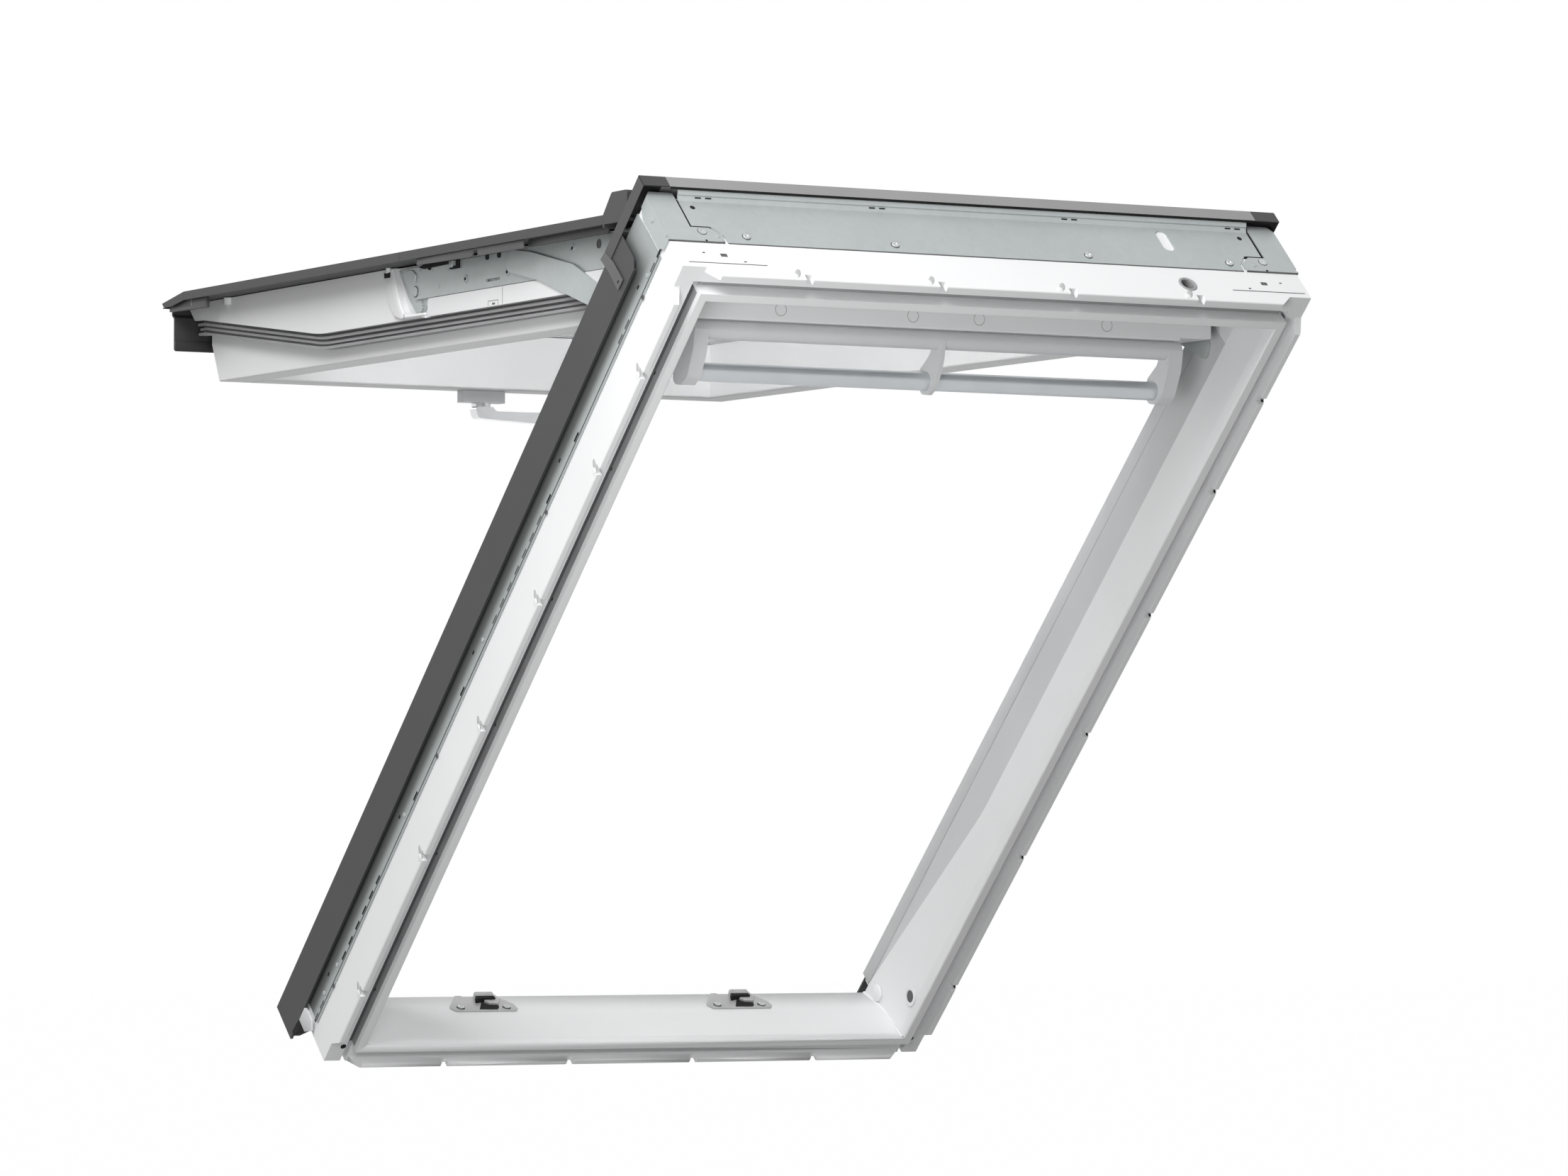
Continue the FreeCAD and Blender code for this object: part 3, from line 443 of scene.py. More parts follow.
def fit(piece, name, look, carrier):
    # lays a finished piece on what carries it, applies its place and lets it ride on the window
    pick(piece)
    piece.matrix_world = carrier @ piece.matrix_world
    bpy.ops.object.transform_apply(location=True, rotation=True, scale=True)
    bpy.ops.object.shade_smooth_by_angle(angle=math.radians(edges["smoothBelow"]))
    piece.name = name
    piece.data.name = name
    piece.data.materials.clear()
    piece.data.materials.append(looks[look])
    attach(piece, "window")


merging = {"closer": 0.001, "near": 0.2}


def nodeCopy(name):
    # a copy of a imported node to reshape; its loose triangles are merged first
    pick(nodes[name])
    bpy.ops.object.duplicate(linked=False)
    piece = bpy.context.active_object
    bpy.ops.object.mode_set(mode="EDIT")
    bpy.ops.mesh.select_mode(type="VERT")
    bpy.ops.mesh.select_all(action="SELECT")
    bpy.ops.mesh.remove_doubles(threshold=merging["closer"] * mm)
    bpy.ops.object.mode_set(mode="OBJECT")
    return piece


def moveCorners(piece, wanted, shift):
    # moves the corners that are wanted by a shift in metres
    pick(piece)
    bpy.ops.object.mode_set(mode="EDIT")
    bpy.ops.mesh.select_all(action="DESELECT")
    bpy.ops.object.mode_set(mode="OBJECT")
    for vertex in piece.data.vertices:
        vertex.select = wanted(vertex.co)
    bpy.ops.object.mode_set(mode="EDIT")
    bpy.ops.transform.translate(value=shift)
    return leaveEdit(piece)


def moveEdge(piece, place, shift):
    # moves one edge of a section that runs across the window
    lay = onRoof.inverted()
    off = Vector((0, *place)) * mm
    near = merging["near"] * mm

    def atEdge(spot):
        gap = lay @ spot - off
        return abs(gap.y) < near and abs(gap.z) < near

    return moveCorners(piece, atEdge, onRoof.to_3x3() @ Vector((0, *shift)) * mm)


def mirrored(piece):
    # the same piece on the window's other side
    pick(piece)
    bpy.ops.object.duplicate(linked=False)
    copy = bpy.context.active_object
    bpy.ops.object.transform_apply(location=True, rotation=True, scale=True)
    bpy.ops.object.mode_set(mode="EDIT")
    bpy.ops.mesh.select_all(action="SELECT")
    bpy.ops.transform.resize(value=(-1, 1, 1), center_override=(roof["across"] / 2 * mm, 0, 0))
    leaveEdit(copy)
    return copy


def fitPair(piece, name, look, carrier):
    other = mirrored(piece)
    fit(piece, name + "_left", look, carrier)
    fit(other, name + "_right", look, carrier)


def fitOnSide(piece, face, places, name, look, carrier):
    # copies of a small round piece on a side face, left and right
    fitPair(standAt(piece, [(face, *place) for place in places], "left"), name, look, carrier)


# Head's outer face: two slits, a square pocket at each end and dots beside them, all dark with painted shade
headMarks = {
    "slits": [(9.9, 102.7), (681.0, 775.0)], "slitOut": 7.1, "slitHalf": 0.55, "slitCorner": 0.4,
    "dots": [(33.4, 23.1), (78.3, 11.4), (705.3, 11.2), (750.5, 22.9)],
    "dotHalf": (1.6, 0.9), "dotCorner": 0.6, "depth": (-0.2, 0.3),
    "squares": [56.3, 728.0], "squareOut": 20.4, "squareHalf": (3.9, 2.4), "rim": 0.5, "sunk": 0.15,
}
marks = []
for start, end in headMarks["slits"]:
    middle, half = ((start + end) / 2, headMarks["slitOut"]), ((end - start) / 2, headMarks["slitHalf"])
    marks.append(oblong(middle, half, "v", *headMarks["depth"], corner=headMarks["slitCorner"]))
for place in headMarks["dots"]:
    marks.append(oblong(place, headMarks["dotHalf"], "v", *headMarks["depth"], corner=headMarks["dotCorner"]))
fit(joined(marks), "head_slits", "darkTrimAndPaintedShade", onRoof)
pockets = []
for place in headMarks["squares"]:
    pocket = oblong((place, headMarks["squareOut"]), headMarks["squareHalf"], "v", *headMarks["depth"])
    editFaces(pocket, lambda face: face.normal.y < -edges["square"])
    bpy.ops.mesh.inset(thickness=headMarks["rim"] * mm)
    bpy.ops.mesh.extrude_region_move(TRANSFORM_OT_translate={"value": (0, headMarks["sunk"] * mm, 0)})
    pockets.append(leaveEdit(pocket))
fit(joined(pockets), "head_pockets", "darkTrimAndPaintedShade", onRoof)
print("stage: head marks")

# Screws with dark rings of painted shadow round them, and embossed marks on the head's steel
headSteel = {
    "face": -1.0, "panHeads": [95, 275, 516, 697], "panOut": 51.4, "pan": (4.3, 1.6),
    "panSocket": 1.5, "panEdge": 0.25, "panShadowRing": (5.0, 4.3, 0.3),
    "bracketFace": -2.0, "flatHeads": [(43.4, 55.4), (742.0, 55.0)], "flat": (4.8, 0.7),
    "flatSocket": 1.4, "flatShadowRing": (5.4, 4.8, 0.2),
    "halfMoons": [(59.5, 48.9), (727.5, 48.9)], "moon": (2.6, 0.6),
}
places = [(across, headSteel["face"], headSteel["panOut"]) for across in headSteel["panHeads"]]
pan = soften(turnedHead(*headSteel["pan"], rim=0.3, socket=headSteel["panSocket"]), headSteel["panEdge"], 1)
fit(standAt(pan, places, "head"), "head_plate_screws", "screwMetal", onRoof)
shadowRings = standAt(turnedRing(*headSteel["panShadowRing"], floor=0.5, corners=24), places, "head")
fit(shadowRings, "head_plate_screw_shadows", "darkTrimAndPaintedShade", onRoof)
places = [(across, headSteel["bracketFace"], out) for across, out in headSteel["flatHeads"]]
flat = turnedHead(*headSteel["flat"], rim=0.35, socket=headSteel["flatSocket"], sink=0.9)
fit(standAt(flat, places, "head"), "bracket_screws", "screwMetal", onRoof)
shadowRings = standAt(turnedRing(*headSteel["flatShadowRing"], floor=0.5, corners=24), places, "head")
fit(shadowRings, "bracket_screw_shadows", "darkTrimAndPaintedShade", onRoof)
places = [(across, headSteel["bracketFace"], out) for across, out in headSteel["halfMoons"]]
moons = standAt(turnedHead(*headSteel["moon"], rim=0.35), places, "head")
fit(moons, "bracket_embosses", "zincSteel", onRoof)

# Painted shade in the slots and holes of the head's steel, and painted shadow in its gaps and under its edges
headGaps = {
    "notches": [43.2, 741.0], "notchOut": 41.0, "notchHalf": (1.3, 1.2), "notchDepth": (-2.15, -1.8),
    "slots": [65, 276, 516.5, 727], "slotHalf": (3.7, 0.5), "slotShift": 6.2, "slotOut": 108.5,
    "slotDepth": (-4.2, -2.0), "holes": [(48.5, -0.3, 95.5), (731.5, -0.3, 95.5)], "hole": (2.9, 0.5),
    "under": (39.2, 39.95), "plate": (69.5, 710.5), "plateDepth": (-0.7, 0.0),
    "bracket": (-1.5, 65.0), "bracketDepth": (-1.5, 0.0),
    "cover": (24.9, 755.1), "coverEdge": [(-12.8, -9.9), (112.9, 113.45)],
    "gap": [(32.2, 62.2), (34.8, 64.8), (34.8, 105), (32.2, 116)], "gapFoot": [(34.8, 57.4), (62.2, 64.8)],
    "gapDepth": (-0.9, 0.5),
}
nicks = [
    oblong((across, headGaps["notchOut"]), headGaps["notchHalf"], "v", *headGaps["notchDepth"], corner=0.8)
    for across in headGaps["notches"]
]
for across in headGaps["slots"]:
    for side in (-headGaps["slotShift"], headGaps["slotShift"]):
        middle = (across + side, headGaps["slotOut"])
        nicks.append(oblong(middle, headGaps["slotHalf"], "v", *headGaps["slotDepth"], corner=0.5))
fit(joined(nicks), "head_steel_slots", "paintedShadowAndBlack", onRoof)
hole = standAt(turnedHead(*headGaps["hole"], rim=0.3, corners=20), headGaps["holes"], "head")
fit(hole, "head_hole_cores", "paintedShadowAndBlack", onRoof)
shade = panel(headGaps["plate"], headGaps["under"], "v", *headGaps["plateDepth"])
fit(shade, "head_plate_shade", "darkTrimAndPaintedShade", onRoof)
shade = panel(headGaps["bracket"], headGaps["under"], "v", *headGaps["bracketDepth"])
fitPair(shade, "bracket_shade", "darkTrimAndPaintedShade", onRoof)
shade = panel(*headGaps["coverEdge"], "u", *headGaps["cover"])
fit(shade, "head_cover_shade", "paintedShadowAndBlack", onRoof)
wide = slab(headGaps["gap"], "v", *headGaps["gapDepth"])
shade = joined([wide, panel(*headGaps["gapFoot"], "v", *headGaps["gapDepth"])])
fitPair(shade, "bracket_gap", "paintedShadowAndBlack", onRoof)
print("stage: head steel")

# Left and right side: slots dark with painted shade, a line of painted shadow along the fold, ring screws,
# small screws and the bracket's bump
sideSteel = {
    "face": -1.0, "slots": [16, 271, 359, 641, 800, 930, 954, 978, 1002, 1026, 1050], "slotLength": 13,
    "cutSlots": [36, 114, 134, 390, 414, 438, 462, 486, 510, 534, 1129, 1149], "coreHalf": (6.45, 1.45),
    "slotOut": (45.5, 48.5), "slotDepth": (-1.12, -0.8), "coreDepth": (-0.85, 0.4),
    "foldRun": (24.5, 1157.5), "foldOut": (43.6, 44.7), "foldDepth": (-1.1, -0.8),
    "screws": [(55.5, 49.3), (575, 51.5), (840, 51.5), (1076, 51.5), (1122, 52)], "screw": (2.6, 0.7),
    "rings": [(77.7, 40.6), (378.8, 40.8), (739, 40.9), (1099, 41.3)], "ring": (2.7, 1.5, 0.8),
    "smallSlots": [(77.1, 56.0), (320, 57.5), (600, 58), (850, 58.5), (1099.2, 59.4)],
    "smallHalf": (2.6, 1.5), "bump": (7.0, 81.0), "bumpFace": -2.0, "bumpSize": (2.8, 0.9),
}
face, length = sideSteel["face"], sideSteel["slotLength"]
marks = [
    panel((start, start + length), sideSteel["slotOut"], "u", *sideSteel["slotDepth"], corner=0.4)
    for start in sideSteel["slots"]
]
for middle in sideSteel["smallSlots"]:
    marks.append(oblong(middle, sideSteel["smallHalf"], "u", *sideSteel["slotDepth"], corner=0.3))
marks.append(panel(sideSteel["foldRun"], sideSteel["foldOut"], "u", *sideSteel["foldDepth"]))
fitPair(joined(marks), "side_slots", "paintedShadowAndBlack", onRoof)
# painted shade inside the cut slots
cores = []
for start in sideSteel["cutSlots"]:
    middle = (start + length / 2, sum(sideSteel["slotOut"]) / 2)
    cores.append(oblong(middle, sideSteel["coreHalf"], "u", *sideSteel["coreDepth"]))
fitPair(joined(cores), "side_slot_cores", "darkTrimAndPaintedShade", onRoof)
ring = turnedRing(*sideSteel["ring"], floor=0.2, corners=24)
fitOnSide(ring, face, sideSteel["rings"], "side_ring_screws", "darkTrimAndPaintedShade", onRoof)
button = turnedHead(*sideSteel["screw"], rim=0.35, socket=0.9)
fitOnSide(button, face, sideSteel["screws"], "side_screws", "zincSteel", onRoof)
knob = turnedHead(*sideSteel["bumpSize"], rim=0.5)
fitOnSide(knob, sideSteel["bumpFace"], [sideSteel["bump"]], "bracket_bump", "zincSteel", onRoof)
print("stage: side steel")

# Corner caps: set in a little so that their seam and clip stay within the window's width
capSide = {
    "beyond": 397.3, "setIn": 0.55, "seam": [(-12.9, -12.0), (113.6, 128.9)], "seamDepth": (-7.1, -6.9),
}
for side, inward in (("left", capSide["setIn"]), ("right", -capSide["setIn"])):
    cap = nodeCopy("corner_cap_" + side)
    moveCorners(cap, lambda spot: abs(spot.x) > capSide["beyond"] * mm, Vector((inward * mm, 0, 0)))
    fit(cap, "cap_set_in_" + side, "capPlastic", Matrix.Identity(4))
    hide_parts("corner_cap_" + side)
fitPair(panel(*capSide["seam"], "u", *capSide["seamDepth"]), "cap_seam", "paintedShadowAndBlack", onRoof)

# A clip over each side cover next to its cap
clip = {
    "outline": [(91, 128.5), (103, 130.5), (100.7, 106.3), (101.2, 78.2), (85.9, 77.7), (86.3, 107)],
    "depth": (-7.4, -6.95), "hole": (94, 84), "holeHalf": (1.8, 1.2), "holeDepth": (-7.48, -7.35),
}
plate = slab(clip["outline"], "u", *clip["depth"], edge=0.12, corner=0.8, segments=1)
fitPair(plate, "cover_clip", "darkTrimAndPaintedShade", onRoof)
# painted shade: a dark patch stands for the clip's hole
hole = oblong(clip["hole"], clip["holeHalf"], "u", *clip["holeDepth"], corner=0.6)
fitPair(hole, "cover_clip_hole", "paintedShadowAndBlack", onRoof)

# Foot of each side: a light end plate under the cover, with a black stop behind it
sideFoot = {
    "plate": [(1163, 69), (1160.5, 61), (1160.5, 46), (1170, 39), (1182.5, 50), (1182.5, 69)],
    "plateDepth": (-6.0, -3.0),
    "stop": [(1183, 70), (1184, 52), (1206, 66), (1205, 72)], "stopDepth": (-6.0, 2.0),
}
plate = slab(sideFoot["plate"], "u", *sideFoot["plateDepth"], edge=0.4)
fitPair(plate, "side_end_plate", "paleGreyAndPaintedShade", onRoof)
stopper = slab(sideFoot["stop"], "u", *sideFoot["stopDepth"], edge=0.3)
fitPair(stopper, "side_end_stop", "paintedShadowAndBlack", onRoof)

# Cable grommet: a raised rim, and a dark disc of painted shade closing its throat
grommet = {
    "place": (626, 0.0, 13), "rim": (9.1, 1.55, 0.7), "throat": (626, 12, 13), "throatSize": (7.2, 0.6),
}
collar = standAt(flatBead(*grommet["rim"], around=40, section=10), [grommet["place"]], "head")
fit(collar, "grommet_rim", "greySealAndPaintedShade", onRoof)
throat = standAt(turnedHead(*grommet["throatSize"], rim=0.2), [grommet["throat"]], "head")
fit(throat, "grommet_throat", "paintedShadowAndBlack", onRoof)
print("stage: caps, clips and grommet")

# Sill: its upper inner face leans back, and the strikers lie on that face
sill = {
    "top": Vector((0, 1158, 88)), "topShift": (9.5, 0),
    "bend": Vector((0, 1158, 44)), "bendShift": (-8.0, 2.0),
}
leaned = moveEdge(nodeCopy("frame_sill"), sill["top"].yz, sill["topShift"])
leaned = moveEdge(leaned, sill["bend"].yz, sill["bendShift"])
fit(leaned, "sill_leaned", "whitePlastic", Matrix.Identity(4))
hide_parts("frame_sill")
sillFoot = sill["bend"] + Vector((0, *sill["bendShift"]))
rise = sill["top"] + Vector((0, *sill["topShift"])) - sillFoot
onSillFace = onRoof @ Matrix.Translation(sillFoot * mm) @ Matrix.Rotation(-math.atan2(rise.y, rise.z), 4, "X")

# Striker, drawn on that face: v is out of the face (towards the head is negative), n is up it
striker = {
    "plate": [
        (174.5, 0.6), (252, 0.6), (257, 7), (257.5, 19), (244, 44), (216, 41.5), (201.5, 41.5), (201, 44.6),
        (193, 44.6), (173, 16), (171, 10),
    ],
    "thick": 1.6, "root": 0.3, "middle": 221.3,
    "screws": [(184.5, 10), (243.5, 9.5)], "screw": (4.0, 1.5), "screwShadowRing": (4.9, 4.2, 0.35),
    "hollow": [(206, 4.2), (229, 3.6), (233, 8), (236, 15.5), (225, 17), (219, 26.5)],
    "blister": [(219.5, 28.5), (225, 17.2), (236, 15.8), (243, 27.5), (242.5, 40), (229, 40.5)],
    "tab": [(-1.4, 30), (-8.5, 31), (-9.8, 36.5), (-8.6, 38.4), (-5.5, 38.8), (-1.4, 38.2)],
    "underTab": [(209, 22), (219, 24.5), (229.5, 25), (236, 25.4), (236, 33), (213.5, 33)],
    "hollowProud": 0.12, "blisterProud": 3.2, "tabRun": (213.5, 236), "underProud": 5.5, "darkRoot": 0.2,
}
top = -striker["thick"]
plate = slab(striker["plate"], "v", top, 0.0, edge=0.3, corner=1.2)
raised = (top - striker["blisterProud"], top + striker["root"])
blister = slab(striker["blister"], "v", *raised, edge=1.4, corner=1.0, segments=3)
tab = slab(striker["tab"], "u", *striker["tabRun"], edge=0.5)
places = [(across, top, up) for across, up in striker["screws"]]
screwShadows = standAt(turnedRing(*striker["screwShadowRing"], floor=0.5, corners=24), places, "head")
root = top + striker["darkRoot"]
# painted shade: dark sheets in the hollow, under the tab and round the screws
dark = joined([
    slab(striker["hollow"], "v", top - striker["hollowProud"], root, corner=1.0),
    slab(striker["underTab"], "v", top - striker["underProud"], root, edge=0.4), screwShadows,
])
screw = standAt(turnedHead(*striker["screw"], rim=0.3, socket=1.5), places, "head")
along = Matrix.Translation(Vector((roof["across"] - 2 * striker["middle"], 0, 0)) * mm)
for name, piece, look in (
    ("striker_plate", joined([plate, blister, tab]), "strikerMetal"),
    ("striker_shade", dark, "paintedShadowAndBlack"), ("striker_screws", screw, "screwMetal"),
):
    pick(piece)
    bpy.ops.object.duplicate(linked=False)
    other = bpy.context.active_object
    fit(piece, name + "_left", look, onSillFace)
    fit(other, name + "_right", look, onSillFace @ along)
    if name == "striker_plate":
        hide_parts("striker_left")
        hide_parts("striker_right")
print("stage: sill and strikers")

# Arm side of the sash: screws, rivets, a hole, the ring round the pivot and its spring
armParts = {
    "face": 31.5,
    "screws": [(466.5, 101.0), (367.7, 100.7), (217.8, 114.3)], "cup": (4.6, 2.9, 1.1), "core": (1.5, 1.0),
    "rivets": [(621.0, 118.5), (577.0, 118.2), (549.0, 116.5), (508.5, 112.7), (531.5, 97.4), (579.0, 93.3)],
    "rivet": (2.0, 0.5), "pivot": (588.0, 96.0), "pivotRing": (6.6, 5.9, 0.45),
    "hole": (158.5, 113.9), "holeRing": (5.0, 4.4, 0.5),
    "spring": [(609.5, 120.3), (594.5, 120.0), (585.2, 114.4), (588.9, 106.4)],
    "springDepth": 30.5, "springRadius": 0.7,
}
face = armParts["face"]
cup = turnedRing(*armParts["cup"], floor=0.2, corners=24)
fitOnSide(cup, face, armParts["screws"], "arm_screws", "zincSteel", onSash)
# painted shade: a dark disc in each screw's socket
core = turnedHead(*armParts["core"], rim=0.4)
fitOnSide(core, face, armParts["screws"], "arm_screw_cores", "paintedShadowAndBlack", onSash)
rivet = turnedHead(*armParts["rivet"], rim=0.4, corners=16)
fitOnSide(rivet, face, armParts["rivets"], "arm_rivets", "zincSteel", onSash)
ring = turnedRing(*armParts["pivotRing"], floor=0.3)
fitOnSide(ring, face, [armParts["pivot"]], "pivot_ring", "darkTrimAndPaintedShade", onSash)
hole = turnedRing(*armParts["holeRing"], floor=0.2)
fitOnSide(hole, face, [armParts["hole"]], "arm_hole", "darkTrimAndPaintedShade", onSash)
hook = wire(armParts["spring"], "u", armParts["springDepth"], armParts["springRadius"], bend=2.0)
fitPair(hook, "pivot_spring", "zincSteel", onSash)

# Slider under the cover: black runner, a small grey block at its head end and the hooked stop
slider = {
    "runner": [(577, 122.0), (566, 119.5), (501, 120.5), (501, 125.5), (560, 126.0)],
    "stop": [(501, 114), (479.5, 114), (479.5, 125.5), (486, 125.5), (486, 117), (501, 117)],
    "runnerDepth": (29.3, 31.5), "stopDepth": (28.9, 31.5),
    "block": (497, 119.5), "blockHalf": (4.2, 3.6), "blockDepth": (28.1, 31.5),
}
fitPair(slab(slider["runner"], "u", *slider["runnerDepth"], edge=0.4), "stay_runner", "paintedShadowAndBlack", onSash)
block = oblong(slider["block"], slider["blockHalf"], "u", *slider["blockDepth"], edge=0.5)
fitPair(block, "stay_block", "zincSteel", onSash)
fitPair(slab(slider["stop"], "u", *slider["stopDepth"], edge=0.3), "stay_stop", "paintedShadowAndBlack", onSash)

# Raised white rim round the cut-out in the stile, its seam and the clip at its top
rim = {
    "outline": [
        (655.5, 126), (655, 114), (645, 84), (633, 71.5), (617, 67.0), (557, 67.0),
        (557, 70.6), (598, 70.8), (610, 73.5), (618.5, 84), (627, 103), (637, 126),
    ],
    "depth": (26.5, 30.4), "seam": (607, 69.4), "seamHalf": (0.5, 2.6), "seamDepth": (26.35, 26.6),
    "clip": (648, 118.8), "clipHalf": (6.8, 3.0), "clipDepth": (25.2, 29.0), "peg": (27.0, 646.5, 121.0),
    "pegSize": (3.4, 5.5),
}
border = slab(rim["outline"], "u", *rim["depth"], edge=1.5, segments=3)
fitPair(border, "cut_out_rim", "whitePlastic", onSash)
fitPair(oblong(rim["seam"], rim["seamHalf"], "u", *rim["seamDepth"]), "rim_seam", "darkTrimAndPaintedShade", onSash)
block = oblong(rim["clip"], rim["clipHalf"], "u", *rim["clipDepth"], edge=0.6)
fitPair(block, "rim_clip", "paintedShadowAndBlack", onSash)
peg = standAt(turnedHead(*rim["pegSize"], rim=0.3), [rim["peg"]], "sky")
fitPair(peg, "rim_clip_peg", "ventPlastic", onSash)

# White strip under the arm: a fine joint line and a small embossed square, open at one side
strip = {
    "joint": (376.5, 76), "jointHalf": (0.35, 9.5), "jointDepth": (29.9, 30.1), "mark": (398.5, 69.5),
    "bars": [((-12, 12), (2, 2.6)), ((11.4, 12), (-3, 2.6)), ((-12, -11.4), (-3, 2.6))],
    "barDepth": (29.88, 30.1), "dot": (397.5, 68.3), "dotHalf": (3.2, 1.0), "dotDepth": (29.85, 30.1),
}
lines = [oblong(strip["joint"], strip["jointHalf"], "u", *strip["jointDepth"])]
# the embossed square and its dot are drawn dark: painted shade of their edges
for down, out in strip["bars"]:
    down = [strip["mark"][0] + value for value in down]
    out = [strip["mark"][1] + value for value in out]
    lines.append(panel(down, out, "u", *strip["barDepth"]))
lines.append(oblong(strip["dot"], strip["dotHalf"], "u", *strip["dotDepth"]))
fitPair(joined(lines), "strip_marks", "darkTrimAndPaintedShade", onSash)
print("stage: arm side of the sash")

# Trim below the sash covers: a grey strip with a notch, a darker strip to the hinge and pegs behind
trim = {
    "outline": [
        (277.5, 117.6), (383, 118.2), (385, 125.5), (394, 125.5),
        (397, 118.2), (530, 119.8), (530, 127), (277.5, 127),
    ],
    "depth": (3.0, 5.0), "back": [(96, 277), (119, 127)], "backDepth": (9.0, 11.0),
    "pegs": [(13, 518, 121.5), (13, 380, 121.5), (13, 352, 121.5)], "pegSize": (2.2, 6.0),
}
fitPair(slab(trim["outline"], "u", *trim["depth"], edge=0.5), "cover_trim", "darkTrimAndPaintedShade", onSash)
fitPair(panel(*trim["back"], "u", *trim["backDepth"], edge=0.5), "cover_trim_back", "capPlastic", onSash)
pegs = standAt(turnedHead(*trim["pegSize"], rim=0.4, corners=16), trim["pegs"], "room")
fitPair(pegs, "cover_pegs", "paintedShadowAndBlack", onSash)

# Foot of the sash: the end block below the cover, its inset face with a rib, and the rubber lip
foot = {
    "block": [(1083, 114.6), (1184, 116.4), (1184, 127), (1083, 127)], "blockDepth": (5.0, 10.5),
    "inset": [(1122, 119.6), (1184.4, 121.6), (1184.4, 126.9), (1122, 126.9)], "insetDepth": (4.7, 5.2),
    "rib": [(1121, 1122), (119.4, 127)], "ribDepth": (4.3, 5.2),
    "lip": [(1179.9, 1183.2), (71.5, 82.0)], "lipRun": (11.6, 768.4),
}
fitPair(slab(foot["block"], "u", *foot["blockDepth"], edge=0.6), "foot_block", "darkTrimAndPaintedShade", onSash)
fitPair(slab(foot["inset"], "u", *foot["insetDepth"]), "foot_inset", "capPlastic", onSash)
fitPair(panel(*foot["rib"], "u", *foot["ribDepth"], edge=0.2), "foot_rib", "greySealAndPaintedShade", onSash)
fit(panel(*foot["lip"], "u", *foot["lipRun"], edge=0.5), "apron_rubber", "blackRubber", onSash)
print("stage: trim and foot of the sash")

# Moulded circles on the top rail
circles = {"across": [188, 351, 434, 597], "down": 44.1, "out": 42, "bead": (6.7, 0.32, 0.6)}
places = [(across, circles["down"], circles["out"]) for across in circles["across"]]
beads = standAt(flatBead(*circles["bead"], around=32, section=6), places, "head")
fit(beads, "rail_circles", "greySealAndPaintedShade", onSash)
print("stage: top rail")

# Jambs: painted shade in the rebate (a darker grey sheet and a grey strip above it), a ring round a bore with
# a disc of painted shade in it, a round cap, a bead and a seal
jamb = {
    "rebateShade": [(120, 48.3), (826, 48.3), (850, 50.8), (1148, 88.2), (1166, 88.3), (1166, 100), (120, 100)],
    "rebateShadeDepth": (27.0, 27.7), "strip": [(120, 1166), (100.4, 118.6)], "stripDepth": (26.4, 28.2),
    "ring": (38.0, 1094.5, 10.5), "ringSize": (12.2, 7.4, 1.3), "ringEdge": 0.4,
    "boreShade": (38.35, 1094.5, 10.5), "boreShadeSize": (7.3, 0.25),
    "cap": (38.0, 1145.5, 65.7), "capSize": (10.2, 2.6), "capEdge": (0.8, 3),
    "bead": [(1167.5, 88.0), (1150.3, 46.5), (1141.8, -5.0), (1140.8, -11.0)],
    "beadAt": 38.8, "beadRadius": 1.7,
    "seal": [(26.0, 88.1), (47.0, 88.1), (26.0, 113.0)], "sealDepth": (1169, 1173),
}
fitPair(slab(jamb["rebateShade"], "u", *jamb["rebateShadeDepth"]), "rebate_painted_shade", "paleGreyAndPaintedShade", onRoof)
fitPair(panel(*jamb["strip"], "u", *jamb["stripDepth"], edge=0.4), "rebate_strip", "paleGreyAndPaintedShade", onRoof)
ring = standAt(turnedRing(*jamb["ringSize"], floor=0.25), [jamb["ring"]], "right")
fitPair(soften(ring, jamb["ringEdge"]), "bore_ring", "whitePlastic", onRoof)
boreShade = standAt(turnedHead(*jamb["boreShadeSize"], rim=0.2), [jamb["boreShade"]], "right")
fitPair(boreShade, "bore_shade_disc", "darkTrimAndPaintedShade", onRoof)
cap = standAt(turnedHead(*jamb["capSize"], rim=0.12, corners=32), [jamb["cap"]], "right")
fitPair(soften(cap, *jamb["capEdge"]), "jamb_cap", "whitePlastic", onRoof)
bead = wire(jamb["bead"], "u", jamb["beadAt"], jamb["beadRadius"], bend=4.0)
fitPair(bead, "corner_bead", "whitePlastic", onRoof)
fitPair(slab(jamb["seal"], "v", *jamb["sealDepth"], edge=0.4), "corner_seal", "blackRubber", onRoof)

# Painted shade in the groove of the frame's room side and on the inner lip's side: dark strips where the
# groove's shade falls
groove = {
    "across": (20.3, 25.7), "ends": [(20.3, 25.7), (1152.3, 1157.7)], "depth": (2.6, 7.9),
    "run": (30, 1148), "endRun": (30, 750), "lip": (25.5, 26.1), "lipDepth": (-6.0, 7.0),
}
fitPair(panel(groove["across"], groove["run"], "n", *groove["depth"]), "groove_painted_shade", "darkTrimAndPaintedShade", onRoof)
tops = [panel(groove["endRun"], down, "n", *groove["depth"]) for down in groove["ends"]]
fit(joined(tops), "groove_end_painted_shade", "greySealAndPaintedShade", onRoof)
fitPair(panel(groove["lip"], groove["run"], "n", *groove["lipDepth"]), "lip_painted_shade", "greySealAndPaintedShade", onRoof)

